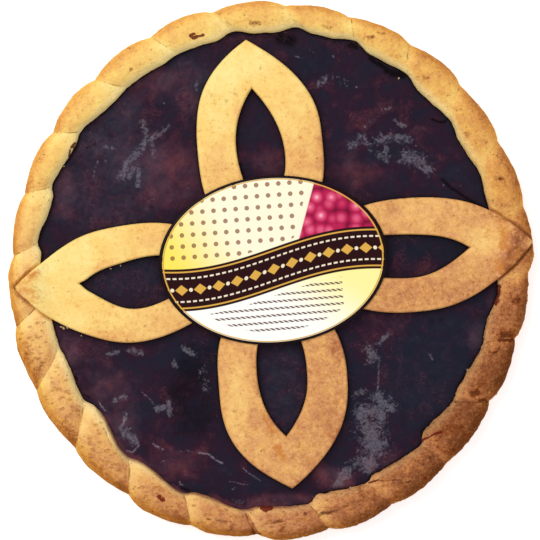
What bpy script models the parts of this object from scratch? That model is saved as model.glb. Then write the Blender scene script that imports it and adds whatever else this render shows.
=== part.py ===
"""A raspberry tart: a shortcrust case with a rope-pinched rim, its jam filling, a die-cut pastry
flower laid over the jam and an oval paper label. Sizes are metres, +Z is up, the origin is the
centre of the flat base. +X runs along the two long petals and bearings turn from +X to +Y."""
import math
import random

import bmesh
import bpy
from mathutils import Vector

# Clear space between pieces that touch
GAP = 0.0003

# Crust: a disc of dough with its edge turned up
FLOOR_LEVEL = 0.0045
SHOULDER_LEVEL = 0.0068
RIM_WIDTH = 0.0158
RIM_HEIGHT = 0.0165
FOOT_INSET = 0.0050
FOOT_ROUNDING = 0.0014
TUCK_SHARE = 0.35
TOP_ROUNDNESS = 0.75

# The rim's edge is pinched by hand to a rope of strands, so no two are alike. For each strand: the
# bearings of the outer and inner end of the crease that it comes out of, the rim's outer and inner
# radius in that crease, and both where the strand is fullest.
STRANDS = (
    (9.0, 5.3, 0.1181, 0.1037, 0.1195, 0.1026),
    (24.2, 19.6, 0.1186, 0.1044, 0.1206, 0.1034),
    (38.8, 34.9, 0.1198, 0.1058, 0.1222, 0.1050),
    (52.5, 49.8, 0.1201, 0.1078, 0.1219, 0.1073),
    (67.4, 64.3, 0.1200, 0.1104, 0.1216, 0.1083),
    (81.2, 78.2, 0.1199, 0.1104, 0.1221, 0.1071),
    (97.3, 93.0, 0.1196, 0.1090, 0.1214, 0.1063),
    (111.8, 107.1, 0.1185, 0.1062, 0.1199, 0.1048),
    (127.2, 122.3, 0.1171, 0.1046, 0.1191, 0.1036),
    (142.2, 138.2, 0.1162, 0.1058, 0.1181, 0.1042),
    (157.2, 153.2, 0.1162, 0.1054, 0.1177, 0.1032),
    (171.4, 167.6, 0.1160, 0.1056, 0.1184, 0.1034),
    (187.2, 181.5, 0.1175, 0.1034, 0.1195, 0.1008),
    (201.8, 194.0, 0.1186, 0.1012, 0.1202, 0.1004),
    (217.0, 209.0, 0.1190, 0.1021, 0.1210, 0.0998),
    (232.4, 227.2, 0.1199, 0.1056, 0.1226, 0.1040),
    (247.4, 243.0, 0.1207, 0.1077, 0.1218, 0.1054),
    (262.0, 258.6, 0.1193, 0.1085, 0.1219, 0.1064),
    (277.5, 273.8, 0.1197, 0.1068, 0.1216, 0.1034),
    (292.2, 288.6, 0.1190, 0.1053, 0.1202, 0.1030),
    (307.0, 305.4, 0.1180, 0.1040, 0.1185, 0.1001),
    (323.8, 319.2, 0.1156, 0.1013, 0.1172, 0.0998),
    (338.9, 335.6, 0.1150, 0.1016, 0.1171, 0.1005),
    (354.2, 350.3, 0.1168, 0.1033, 0.1196, 0.1020),
)
CREASE_HOOK = 0.25
CREASE_DROP = 0.0026
CREASE_STEP = 0.0004
STRAND_VARIES = 0.0005
SHALLOW_BEARING = 60
SHALLOWER = 0.45

# How far along a strand its plan and its back are full, as shares of its length. On one side of
# the tart the strands swell later towards the inside.
OUTSIDE_FULL = (0.35, 0.30)
INSIDE_FULL = (0.20, 0.35)
INSIDE_LATER = (0.22, 0.35)
LATER_BEARING = 65
BACK_FULL = (0.55, 0.60)
STRAND_FACETS = 9
EVEN_SHARE = 0.35
TOP_FACETS = 9

# Jam
JAM_LEVEL = 0.0085
JAM_INSET = 0.00033

# Pastry flower: for each petal its bearing, its outline and its leaf-shaped hole. An outline is
# where it is widest, where it ends, its half width there and how full its sides are. A middle line
# is given by places along the petal, each with how far the line lies sideways there.
FLOWER_THICKNESS = 0.0042
FLOWER_CROWN = 0.0004
EDGE_ROUNDING = 0.0013
PETALS = (
    {"bearing": 0, "climbs": True,
     "outline": (0.0632, 0.1190, 0.0257, 2.4),
     "middle": ((0.0205, 0), (0.0745, -0.0007), (0.1040, 0.0003), (0.1190, 0.0002)),
     "hole": (0.0591, 0.0904, 0.0099, 2.4),
     "hole_middle": ((0.0450, 0), (0.0675, -0.0012), (0.0904, 0.0003))},
    {"bearing": 90, "climbs": False,
     "outline": (0.0533, 0.1029, 0.0282, 2.8),
     "middle": ((0.0205, 0), (0.0474, -0.0005), (0.0640, -0.0005), (0.0990, 0.0016), (0.1029, 0.0013)),
     "hole": (0.0519, 0.0810, 0.0108, 2.1),
     "hole_middle": ((0.0400, -0.0009), (0.0810, 0.0008))},
    {"bearing": 180, "climbs": True,
     "outline": (0.0614, 0.1159, 0.0265, 2.1),
     "middle": ((0.0340, 0), (0.0670, 0.0017), (0.0880, 0.0007), (0.1000, 0.0006), (0.1159, -0.0009)),
     "hole": (0.0578, 0.0865, 0.0113, 2.0),
     "hole_middle": ((0.0420, 0), (0.0655, 0.0022), (0.0830, 0.0003), (0.0865, -0.0006))},
    {"bearing": 270, "climbs": False,
     "outline": (0.0519, 0.1003, 0.0290, 2.7),
     "middle": ((0.0205, 0), (0.0474, 0.0009), (0.0880, -0.0005), (0.1003, 0.0004)),
     "hole": (0.0474, 0.0768, 0.0113, 2.4),
     "hole_middle": ((0.0340, 0.0008), (0.0550, 0.0007), (0.0768, 0))},
)
FLOWER_CENTRE = (0.0003, 0.0016)
NOTCH_RADIUS = 0.029
NOTCH_STEPS = 2
PETAL_STEPS = 14
STRIP_ROWS = (0.0, 0.07, 0.22, 0.41, 0.59, 0.78, 0.93, 1.0)

# A long petal's tip climbs the rim and folds over it
CLIMB_START = 0.0975
CLIMB_END = 0.1090
CLIMB_RISE = 0.0043
FOLD_START = 0.1120
FOLD_DROP = 70
TIP_THINNER = 0.0009
TIP_THINS_OVER = 0.008

# Label
LABEL_HALF_LENGTH = 0.0515
LABEL_HALF_WIDTH = 0.0380
LABEL_THICKNESS = 0.0005
LABEL_CENTRE = (0.0018, 0.0045)
LABEL_TURN = -1.0
LABEL_STEPS = 64

CUTTER_TOP = 0.025


def clear_scene():
    for thing in list(bpy.data.objects):
        bpy.data.objects.remove(thing, do_unlink=True)


def linear(channel):
    """One sRGB channel from 0 to 255 as the linear value a shader takes."""
    share = channel / 255
    return share / 12.92 if share <= 0.04045 else ((share + 0.055) / 1.055) ** 2.4


def finish(name, color, roughness):
    material = bpy.data.materials.new(name)
    material.use_nodes = True
    shader = material.node_tree.nodes["Principled BSDF"]
    shader.inputs["Base Color"].default_value = [linear(part) for part in color] + [1]
    shader.inputs["Roughness"].default_value = roughness
    shader.inputs["Metallic"].default_value = 0
    return material


def smooth_step(value):
    value = min(max(value, 0), 1)
    return value * value * (3 - 2 * value)


def wave(bearing, toward, folds=1):
    return math.cos(math.radians(folds * (bearing - toward)))


def at_bearing(bearing, radius, level):
    turn = math.radians(bearing)
    return Vector((radius * math.cos(turn), radius * math.sin(turn), level))


def add_piece(name, mesh_data, material):
    """A named object from a bmesh, its faces turned outwards and shaded smooth."""
    bmesh.ops.recalc_face_normals(mesh_data, faces=mesh_data.faces)
    mesh = bpy.data.meshes.new(name)
    mesh_data.to_mesh(mesh)
    mesh_data.free()
    mesh.shade_smooth()
    mesh.set_sharp_from_angle(angle=math.radians(40))
    mesh.materials.append(material)
    piece = bpy.data.objects.new(name, mesh)
    bpy.context.scene.collection.objects.link(piece)
    return piece


def bridge_rings(mesh_data, lower, upper):
    """Faces between two closed rings with the same number of vertices."""
    count = len(lower)
    for step in range(count):
        following = (step + 1) % count
        mesh_data.faces.new((lower[step], lower[following], upper[following], upper[step]))


def rim_section():
    """Points over the rim from the floor inside to the foot outside: how far across the rim, the
    level, and how much of a crease's drop and of its notch in the outline each one takes."""
    points = [(0.0, FLOOR_LEVEL, 0.0, 0.0)]
    for row in range(TOP_FACETS + 1):
        turn = math.pi * (1 - row / TOP_FACETS)
        across = (1 + math.cos(turn)) / 2
        start = JAM_LEVEL + GAP + (SHOULDER_LEVEL - JAM_LEVEL - GAP) * across
        rise = math.sin(turn) ** TOP_ROUNDNESS if 0 < row < TOP_FACETS else 0
        points.append((across, start + (RIM_HEIGHT - start) * rise, rise, 1.0))
    foot = 1 - FOOT_INSET / RIM_WIDTH
    points.append(((1 + foot) / 2, FOOT_ROUNDING + SHOULDER_LEVEL * TUCK_SHARE, 0.0, 0.6))
    points.append((foot, FOOT_ROUNDING, 0.0, 0.3))
    points.append((foot - FOOT_ROUNDING / RIM_WIDTH, 0.0, 0.0, 0.2))
    return points


def strand_columns():
    """The rim's columns: which strand each one is on, how far along it and how far that strand
    stands out."""
    chance = random.Random(24)
    columns = []
    for strand in range(len(STRANDS)):
        extra = chance.uniform(-STRAND_VARIES, STRAND_VARIES)
        for step in range(STRAND_FACETS):
            eased = (1 - math.cos(math.pi * step / STRAND_FACETS)) / 2
            along = EVEN_SHARE * step / STRAND_FACETS + (1 - EVEN_SHARE) * eased
            columns.append((strand, along, extra))
    return columns


def strand_edge(here, beyond, full, kink_before, kink_after):
    """An edge of the rim between two creases and where the strand between them is fullest."""
    return full + (here - full) * kink_before + (beyond - full) * kink_after


def rim_point(column, point):
    strand, along, extra = column
    across, level, drop_share, notch_share = point
    here = STRANDS[strand]
    beyond = STRANDS[(strand + 1) % len(STRANDS)]
    outer_bearing = here[0] + (beyond[0] - here[0]) % 360 * along
    inner_bearing = here[1] + (beyond[1] - here[1]) % 360 * along
    inwards = 1 - across
    hooked = (1 - CREASE_HOOK) * inwards + CREASE_HOOK * inwards ** 6
    bearing = outer_bearing + (inner_bearing - outer_bearing) * hooked

    leaving, arriving = OUTSIDE_FULL
    before = max(0, 1 - along / leaving) ** 2
    after = max(0, (along - arriving) / (1 - arriving)) ** 2.2
    outer = strand_edge(here[2], beyond[2], here[4], before * notch_share, after * notch_share)
    later = max(0, wave(here[0], LATER_BEARING))
    leaving, arriving = (full + more * later for full, more in zip(INSIDE_FULL, INSIDE_LATER))
    before = 1 - smooth_step(along / leaving)
    after = smooth_step((along - arriving) / (1 - arriving))
    inner = strand_edge(here[3], beyond[3], here[5], before, after)

    leaving, arriving = BACK_FULL
    rise = 1 - max(0, 1 - along / leaving) ** 2
    fall = 1 - max(0, (along - arriving) / (1 - arriving)) ** 2.5 * (1 - CREASE_STEP / CREASE_DROP)
    full = rise * fall
    depth = 1 - SHALLOWER * max(0, wave(bearing, SHALLOW_BEARING)) ** 2
    drop = (extra * full - CREASE_DROP * (1 - full) * depth) * drop_share
    return at_bearing(bearing, inner + (outer - inner) * across, level + drop)


def make_crust():
    mesh_data = bmesh.new()
    columns = strand_columns()
    rings = []
    for point in rim_section():
        rings.append([mesh_data.verts.new(rim_point(column, point)) for column in columns])
    for lower, upper in zip(rings, rings[1:]):
        bridge_rings(mesh_data, lower, upper)
    mesh_data.faces.new(rings[0])
    mesh_data.faces.new(rings[-1])
    return add_piece("crust", mesh_data, finish("baked crust", (222, 165, 92), 0.62))


def make_jam():
    """The filling fills the case up to its level, just clear of the rim's inner wall."""
    mesh_data = bmesh.new()
    wall = rim_section()[0]
    rings = []
    for level in (FLOOR_LEVEL + GAP, JAM_LEVEL):
        ring = []
        for column in strand_columns():
            place = rim_point(column, wall)
            inwards = 1 - JAM_INSET / math.hypot(place.x, place.y)
            ring.append(mesh_data.verts.new((place.x * inwards, place.y * inwards, level)))
        rings.append(ring)
    bridge_rings(mesh_data, *rings)
    mesh_data.faces.new(rings[0])
    mesh_data.faces.new(rings[1])
    return add_piece("raspberry_jam", mesh_data, finish("set raspberry jam", (43, 31, 48), 0.28))


def leaf_half_width(along, shape, grow=0.0):
    """Half the width of a leaf outline at a distance along its petal."""
    widest_at, tip, half_width, fullness = shape
    share = min(abs(along - widest_at) / (tip + grow - widest_at), 1)
    return (half_width + grow) * (1 - share ** fullness)


def middle_at(along, line):
    """How far a leaf's middle line lies sideways at a distance along its petal."""
    for (start, from_side), (end, to_side) in zip(line, line[1:]):
        if along <= end:
            return from_side + (to_side - from_side) * smooth_step((along - start) / (end - start))
    return line[-1][1]


def petal_edges(petal, grow):
    """Pairs of points on the hole's edge and on the outer edge, as distances along and beside
    the petal, from the flower's centre up one side to the tip and back down the other."""
    outline, hole = petal["outline"], petal["hole"]
    notch = NOTCH_RADIUS / math.sqrt(2)
    pairs = []
    for step in range(PETAL_STEPS + 1):
        share = (1 - math.cos(math.pi * step / PETAL_STEPS)) / 2
        hole_start = 2 * hole[0] - hole[1]
        hole_along = hole_start + (hole[1] - hole_start) * share
        hole_beside = leaf_half_width(hole_along, hole)
        if step <= NOTCH_STEPS:
            along = beside = notch * step / NOTCH_STEPS
        else:
            turn = math.pi / 2 * (step - NOTCH_STEPS) / (PETAL_STEPS - NOTCH_STEPS)
            along = notch + (outline[1] + grow - notch) * math.sin(turn)
            beside = leaf_half_width(along, outline, grow)
        pairs.append(((hole_along, hole_beside), (along, beside)))
    other_side = [((a, -b), (c, -d)) for (a, b), (c, d) in pairs[1:-1]]
    return [
        ((a, b + middle_at(a, petal["hole_middle"])), (c, d + middle_at(c, petal["middle"])))
        for (a, b), (c, d) in pairs + other_side[::-1]
    ]


def climb(along, petal):
    """How far a petal is lifted where it goes over the rim."""
    if not petal["climbs"]:
        return 0
    lift = CLIMB_RISE * smooth_step((along - CLIMB_START) / (CLIMB_END - CLIMB_START))
    return lift - FOLD_DROP * max(0, along - FOLD_START) ** 2


def flower_body(grow=0.0, top=None):
    """The flower as a closed mesh. Grown by a gap and with a raised top it is the space that the
    flower takes out of the rim."""
    mesh_data = bmesh.new()
    for petal in PETALS:
        pairs = petal_edges(petal, grow)
        grid = []
        for place, (inner, outer) in enumerate(pairs):
            joined = place < NOTCH_STEPS or place > len(pairs) - NOTCH_STEPS
            line = []
            for share in STRIP_ROWS:
                along = inner[0] + (outer[0] - inner[0]) * share
                beside = inner[1] + (outer[1] - inner[1]) * share
                edge = {0.0: 1, 0.07: 0.25, 0.93: 0.25, 1.0: 1}.get(share, 0)
                if share > 0.5 and joined:
                    edge = 0
                crown = FLOWER_CROWN * math.sin(math.pi * share)
                thinner = TIP_THINNER * smooth_step((along - CLIMB_END) / TIP_THINS_OVER)
                under = JAM_LEVEL + GAP - grow + climb(along, petal)
                over = under + FLOWER_THICKNESS + crown - EDGE_ROUNDING * edge - thinner
                radius = math.hypot(along, beside)
                bearing = petal["bearing"] + math.degrees(math.atan2(beside, along))
                low = mesh_data.verts.new(at_bearing(bearing, radius, under))
                high = mesh_data.verts.new(at_bearing(bearing, radius, top or over))
                line.append((low, high))
            grid.append(line)
        for place, line in enumerate(grid):
            following = (place + 1) % len(grid)
            beyond = grid[following]
            for row in range(len(STRIP_ROWS) - 1):
                for side in (0, 1):
                    mesh_data.faces.new(
                        (line[row][side], line[row + 1][side], beyond[row + 1][side], beyond[row][side])
                    )
            mesh_data.faces.new((line[0][0], line[0][1], beyond[0][1], beyond[0][0]))
            if NOTCH_STEPS <= place < len(grid) - NOTCH_STEPS:
                mesh_data.faces.new((line[-1][0], line[-1][1], beyond[-1][1], beyond[-1][0]))
    bmesh.ops.remove_doubles(mesh_data, verts=mesh_data.verts, dist=0.00001)
    bmesh.ops.translate(mesh_data, verts=mesh_data.verts, vec=(*FLOWER_CENTRE, 0))
    bmesh.ops.triangulate(mesh_data, faces=mesh_data.faces, quad_method="FIXED")
    return mesh_data


def press_into(crust):
    """Cuts the space of the flower's two climbing tips out of the rim."""
    material = crust.data.materials[0]
    cutter = add_piece("flower_space", flower_body(GAP, CUTTER_TOP), material)
    cutter.hide_render = True
    cutter.display_type = "WIRE"
    cut = crust.modifiers.new("pressed by the flower", "BOOLEAN")
    cut.operation = "DIFFERENCE"
    cut.object = cutter


def make_flower():
    return add_piece("pastry_flower", flower_body(), finish("baked pastry", (236, 184, 112), 0.6))


def make_label():
    mesh_data = bmesh.new()
    level = JAM_LEVEL + GAP + FLOWER_THICKNESS + FLOWER_CROWN + GAP
    turn = math.radians(LABEL_TURN)
    rings = []
    for height in (level, level + LABEL_THICKNESS):
        ring = []
        for step in range(LABEL_STEPS):
            angle = 2 * math.pi * step / LABEL_STEPS
            x = LABEL_HALF_LENGTH * math.cos(angle)
            y = LABEL_HALF_WIDTH * math.sin(angle)
            place = (
                LABEL_CENTRE[0] + x * math.cos(turn) - y * math.sin(turn),
                LABEL_CENTRE[1] + x * math.sin(turn) + y * math.cos(turn),
                height,
            )
            ring.append(mesh_data.verts.new(place))
        rings.append(ring)
    bridge_rings(mesh_data, *rings)
    mesh_data.faces.new(rings[0])
    mesh_data.faces.new(rings[1])
    return add_piece("label", mesh_data, finish("printed paper", (196, 150, 140), 0.35))


def main():
    clear_scene()
    crust = make_crust()
    press_into(crust)
    make_jam()
    make_flower()
    make_label()


main()
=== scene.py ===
"""The looks of a raspberry tart: a shortcrust case with a rope-pinched rim, set jam, a pastry flower
laid over it, a printed paper label and a few crumbs. Sizes are metres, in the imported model's frame.
+X runs along the two long petals and bearings turn from +X to +Y."""
import math
import random
from itertools import product

import bmesh
import bpy
import numpy as np
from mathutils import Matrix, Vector, kdtree


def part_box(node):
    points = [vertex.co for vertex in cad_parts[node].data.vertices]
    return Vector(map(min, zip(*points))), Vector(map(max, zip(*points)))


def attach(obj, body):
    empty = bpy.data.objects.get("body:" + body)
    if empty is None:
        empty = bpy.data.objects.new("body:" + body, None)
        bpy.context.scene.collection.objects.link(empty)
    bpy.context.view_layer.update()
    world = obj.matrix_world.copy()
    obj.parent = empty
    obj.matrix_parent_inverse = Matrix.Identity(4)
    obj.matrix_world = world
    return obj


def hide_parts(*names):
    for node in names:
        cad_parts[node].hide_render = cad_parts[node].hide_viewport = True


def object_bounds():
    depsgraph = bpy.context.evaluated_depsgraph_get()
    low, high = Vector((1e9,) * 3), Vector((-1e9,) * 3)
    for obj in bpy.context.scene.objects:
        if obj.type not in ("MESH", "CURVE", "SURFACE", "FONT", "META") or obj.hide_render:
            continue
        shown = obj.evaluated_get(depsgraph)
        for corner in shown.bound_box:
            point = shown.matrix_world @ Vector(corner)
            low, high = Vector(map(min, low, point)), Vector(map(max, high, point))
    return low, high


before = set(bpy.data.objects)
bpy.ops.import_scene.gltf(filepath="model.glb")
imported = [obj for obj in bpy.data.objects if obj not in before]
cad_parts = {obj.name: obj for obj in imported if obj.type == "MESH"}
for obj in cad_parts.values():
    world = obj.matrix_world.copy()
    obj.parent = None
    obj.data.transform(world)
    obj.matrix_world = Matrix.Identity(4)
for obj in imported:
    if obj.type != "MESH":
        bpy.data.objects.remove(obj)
cad_low, cad_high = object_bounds()

# The picture: how much of the tart one of its 540 pixels shows, and how far the tart is turned in it
PICTURE_PIXELS = 540
PIXEL = 0.0004515
PICTURE_TURN = 5.4
PICTURE_MIDDLE = (269.5, 270.0)
PICTURE_CENTRE = (PICTURE_PIXELS - 1) / 2
CAMERA_HEIGHT = 1.2
SEEN_LEVEL = 0.009
SENSOR = 36

# Crust, as in the part's source
RIM_WIDTH = 0.0158
RIM_HEIGHT = 0.0165
FLOOR_LEVEL = 0.0045
SHOULDER_LEVEL = 0.0068
FOOT_INSET = 0.0050
FOOT_ROUNDING = 0.0014
TOP_ROUNDNESS = 0.75
FLANK_BULGE = 0.012
FLANK_NOTCHES = (1, 0.6, 0.3)
FOOT_NOTCH_LESS = 0.1
# The rim is pressed down this much wider than a petal, and only from here on
PRESSED_EDGE = 0.0016
PRESSED_FROM = 0.06
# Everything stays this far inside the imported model
CAD_MARGIN = 0.00002
# The rim's strands, as in the part's source: for each one the bearings of the outer and inner end
# of the crease that it comes out of, the rim's outer and inner radius in that crease, and both
# where the strand is fullest
STRANDS = np.array((
    (9.0, 5.3, 0.1181, 0.1037, 0.1195, 0.1026),
    (24.2, 19.6, 0.1186, 0.1044, 0.1206, 0.1034),
    (38.8, 34.9, 0.1198, 0.1058, 0.1222, 0.1050),
    (52.5, 49.8, 0.1201, 0.1078, 0.1219, 0.1073),
    (67.4, 64.3, 0.1200, 0.1104, 0.1216, 0.1083),
    (81.2, 78.2, 0.1199, 0.1104, 0.1221, 0.1071),
    (97.3, 93.0, 0.1196, 0.1090, 0.1214, 0.1063),
    (111.8, 107.1, 0.1185, 0.1062, 0.1199, 0.1048),
    (127.2, 122.3, 0.1171, 0.1046, 0.1191, 0.1036),
    (142.2, 138.2, 0.1162, 0.1058, 0.1181, 0.1042),
    (157.2, 153.2, 0.1162, 0.1054, 0.1177, 0.1032),
    (171.4, 167.6, 0.1160, 0.1056, 0.1184, 0.1034),
    (187.2, 181.5, 0.1175, 0.1034, 0.1195, 0.1008),
    (201.8, 194.0, 0.1186, 0.1012, 0.1202, 0.1004),
    (217.0, 209.0, 0.1190, 0.1021, 0.1210, 0.0998),
    (232.4, 227.2, 0.1199, 0.1056, 0.1226, 0.1040),
    (247.4, 243.0, 0.1207, 0.1077, 0.1218, 0.1054),
    (262.0, 258.6, 0.1193, 0.1085, 0.1219, 0.1064),
    (277.5, 273.8, 0.1197, 0.1068, 0.1216, 0.1034),
    (292.2, 288.6, 0.1190, 0.1053, 0.1202, 0.1030),
    (307.0, 305.4, 0.1180, 0.1040, 0.1185, 0.1001),
    (323.8, 319.2, 0.1156, 0.1013, 0.1172, 0.0998),
    (338.9, 335.6, 0.1150, 0.1016, 0.1171, 0.1005),
    (354.2, 350.3, 0.1168, 0.1033, 0.1196, 0.1020),
))
# How a crease bends near the rim's inside, how deep it is and how high the step in it is, how much
# the strands differ in height, and the bearing near which the creases are shallower
CREASE_HOOK = 0.25
HOOK_POWER = 6
CREASE_DROP = 0.0026
CREASE_STEP = 0.0004
STRAND_VARIES = 0.0005
SHALLOW_BEARING = 60
SHALLOWER = 0.45
# Where along a strand it gets full and where it starts to narrow: outside, inside and on its back.
# Inside both come later near one bearing.
OUTSIDE_FULL = (0.35, 0.30)
INSIDE_FULL = (0.20, 0.35)
INSIDE_LATER = (0.22, 0.35)
LATER_BEARING = 65
BACK_FULL = (0.55, 0.60)
NARROWING_POWER = 2.2
FALLING_POWER = 2.5
# The columns of a strand's mesh crowd at its creases, apart from this share of evenness
EVEN_SHARE = 0.35
# The middle of the rim's section: its radius and its level
RIM_MIDDLE = (0.112, 0.007)

# Jam and flower, as in the part's source
GAP = 0.0003
JAM_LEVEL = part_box("raspberry_jam")[1].z
FLOWER_THICKNESS = 0.0042
FLOWER_CROWN = 0.0004
EDGE_ROUNDING = 0.0013
PETALS = (
    {"bearing": 0, "climbs": True,
     "outline": (0.0632, 0.1190, 0.0257, 2.4),
     "middle": ((0.0205, 0), (0.0745, -0.0007), (0.1040, 0.0003), (0.1190, 0.0002)),
     "hole": (0.0591, 0.0904, 0.0099, 2.4),
     "hole_middle": ((0.0450, 0), (0.0675, -0.0012), (0.0904, 0.0003))},
    {"bearing": 90, "climbs": False,
     "outline": (0.0533, 0.1029, 0.0282, 2.8),
     "middle": ((0.0205, 0), (0.0474, -0.0005), (0.0640, -0.0005), (0.0990, 0.0016), (0.1029, 0.0013)),
     "hole": (0.0519, 0.0810, 0.0108, 2.1),
     "hole_middle": ((0.0400, -0.0009), (0.0810, 0.0008))},
    {"bearing": 180, "climbs": True,
     "outline": (0.0614, 0.1159, 0.0265, 2.1),
     "middle": ((0.0340, 0), (0.0670, 0.0017), (0.0880, 0.0007), (0.1000, 0.0006), (0.1159, -0.0009)),
     "hole": (0.0578, 0.0865, 0.0113, 2.0),
     "hole_middle": ((0.0420, 0), (0.0655, 0.0022), (0.0830, 0.0003), (0.0865, -0.0006))},
    {"bearing": 270, "climbs": False,
     "outline": (0.0519, 0.1003, 0.0290, 2.7),
     "middle": ((0.0205, 0), (0.0474, 0.0009), (0.0880, -0.0005), (0.1003, 0.0004)),
     "hole": (0.0474, 0.0768, 0.0113, 2.4),
     "hole_middle": ((0.0340, 0.0008), (0.0550, 0.0007), (0.0768, 0))},
)
FLOWER_CENTRE = np.array((0.0003, 0.0016))
NOTCH = 0.029 / math.sqrt(2)
NOTCH_STEPS = 2
PETAL_STEPS = 14
CLIMB_START = 0.0975
CLIMB_END = 0.1090
CLIMB_RISE = 0.0043
FOLD_START = 0.1120
FOLD_DROP = 70
TIP_THINNER = 0.0009
TIP_THINS_OVER = 0.008

# Label, as in the part's source
LABEL_HALF_LENGTH = 0.0515
LABEL_HALF_WIDTH = 0.0380
LABEL_CENTRE = (0.0018, 0.0045)
LABEL_TURN = -1.0

# How finely each piece is meshed
STRAND_COLUMNS = 56
TOP_ROWS = 46
FLANK_ROWS = 10
FOOT_ROWS = 3
BASE_COLUMNS_SHARE = 4
BASE_RINGS = 30
NOTCH_FINE = 12
PETAL_FINE = 150
STRIP_FINE = 28
JAM_CELLS = 296
LABEL_RINGS = 26
LABEL_COLUMNS = 320


def smooth_step(value):
    value = np.clip(value, 0, 1)
    return value * value * (3 - 2 * value)


def bell(distance, width, power=2):
    return np.exp(-(distance / width) ** power)


def wave(bearing, toward):
    return np.cos(np.radians(bearing - toward))


def facing(bearing, toward):
    """1 toward a bearing, falling to 0 a quarter turn from it."""
    return np.maximum(0, wave(bearing, toward))


def side_toward(bearing, toward, start, over):
    """1 on the side toward a bearing and 0 on the other side. It rises where the cosine of the
    angle between them goes from start to start + over."""
    return smooth_step((wave(bearing, toward) - start) / over)


def at_bearing(bearing, radius, level):
    turn = np.radians(bearing)
    return np.stack(np.broadcast_arrays(radius * np.cos(turn), radius * np.sin(turn), level), axis=-1)


def turn_plan(first, second, turn):
    """Two lengths at right angles to each other, in plan, turned by an angle in radians."""
    cosine, sine = math.cos(turn), math.sin(turn)
    return first * cosine - second * sine, first * sine + second * cosine


def in_picture(column, row):
    """The place on the tart, in plan, that a pixel of the picture shows."""
    right = (column - PICTURE_MIDDLE[0]) * PIXEL
    up = (PICTURE_MIDDLE[1] - row) * PIXEL
    return np.array(turn_plan(right, up, math.radians(-PICTURE_TURN)))


# How large the random shifts of a mark's outline are across, and their two seeds
RAGGED_SIZE = 0.0026
RAGGED_SEEDS = (91, 95)


def seen_places(points, ragged):
    """Where each point shows from the camera, in plan at the level that PIXEL holds for, shifted a
    little at random, so that the marks there get uneven outlines."""
    middle = in_picture(PICTURE_CENTRE, PICTURE_CENTRE)
    nearer = (CAMERA_HEIGHT - SEEN_LEVEL) / (CAMERA_HEIGHT - points[..., 2:])
    shift = [layered_noise(points, RAGGED_SIZE, 2, seed) * ragged for seed in RAGGED_SEEDS]
    return middle + (points[..., :2] - middle) * nearer + np.stack(shift, axis=-1)


def marks_at(places, marks):
    """How near each place is to any of the marks: 1 in the middle of a mark, 0.5 at its edge and
    0 from twice its half width on."""
    shown = np.zeros(places.shape[:-1])
    for half, strength, *pixels in marks:
        corners = [in_picture(*pixel) for pixel in pixels]
        for start, end in zip(corners, corners[1:] or corners):
            along = end - start
            share = np.clip(((places - start) @ along) / max(along @ along, 1e-12), 0, 1)
            away = np.linalg.norm(places - start - share[..., None] * along, axis=-1)
            shown = np.maximum(shown, strength * (1 - away / (2 * half * PIXEL)))
    return shown


# How far out of its ellipse a tinted patch reaches
TINT_REACH = 1.45


def tinted(points, patches, column):
    """The sum of tinted patches at each point, in plan. Their strength is in the given column."""
    total = np.zeros(points.shape[:-1])
    for entry in patches:
        pixel, half_long, half_wide, turned = entry[:4]
        away = (points[..., :2] - in_picture(*pixel)) / PIXEL
        turn = math.radians(PICTURE_TURN - turned)
        along, beside = turn_plan(away[..., 0], away[..., 1], turn)
        total += entry[column] * smooth_step(TINT_REACH - np.hypot(along / half_long, beside / half_wide))
    return total


def dents(points, spots):
    """How deep each point lies in any of the small oval dents: 1 in the middle of one. A dent is
    its middle in plan, the way it runs, its half length and its half width."""
    depth = np.zeros(points.shape[:-1])
    for spot, turn, half_long, half_wide in spots:
        away = points[..., :2] - spot
        near = np.abs(away).max(axis=-1) < 3 * half_long
        along, beside = turn_plan(away[near][:, 0], away[near][:, 1], -turn)
        depth[near] = np.maximum(depth[near], bell(np.hypot(along / half_long, beside / half_wide), 1))
    return depth


def lattice_value(cells, seed):
    """A repeatable number from -1 to 1 for each whole-number place."""
    whole = cells.astype(np.int64).astype(np.uint32)
    mixed = whole[..., 0] * np.uint32(73856093)
    mixed ^= whole[..., 1] * np.uint32(19349663)
    mixed ^= whole[..., 2] * np.uint32(83492791)
    mixed ^= np.uint32(seed * 2654435761 % 2**32)
    for shift, factor in ((15, 2246822519), (13, 3266489917)):
        mixed = (mixed ^ (mixed >> np.uint32(shift))) * np.uint32(factor)
    mixed ^= mixed >> np.uint32(16)
    return mixed.astype(float) / 2**31 - 1


def noise(points, size, seed=0):
    """Smooth bumps about one size across, from -1 to 1, at each of the points."""
    place = points / size
    cell = np.floor(place)
    part = place - cell
    fade = part ** 3 * (part * (part * 6 - 15) + 10)
    total = 0
    for corner in product((0, 1), repeat=3):
        corner = np.array(corner)
        weight = np.prod(np.where(corner == 1, fade, 1 - fade), axis=-1)
        towards = part - corner
        slope = sum(
            lattice_value(cell + corner, seed * 3 + axis) * towards[..., axis] for axis in range(3)
        )
        total = total + weight * slope
    return total * 1.3


def layered_noise(points, size, layers, seed=0):
    """Noise with finer noise added to it, each layer half the size and half the height."""
    return sum(noise(points, size / 2 ** step, seed + step) / 2 ** step for step in range(layers))


def relief(points, layers):
    """The height of several noises together: each one's height, size, number of layers and seed."""
    return sum(tall * layered_noise(points, size, count, seed) for tall, size, count, seed in layers)


def grid_faces(rows, columns, first=0, closed_rows=False):
    """Quads over a grid whose columns run round in a ring. The grid's rows may close too."""
    row = np.arange(rows if closed_rows else rows - 1)[:, None]
    column = np.arange(columns)[None, :]
    beyond = (row + 1) % rows
    following = (column + 1) % columns
    corners = (
        row * columns + column,
        row * columns + following,
        beyond * columns + following,
        beyond * columns + column,
    )
    return np.stack(corners, axis=-1).reshape(-1, 4) + first


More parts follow.
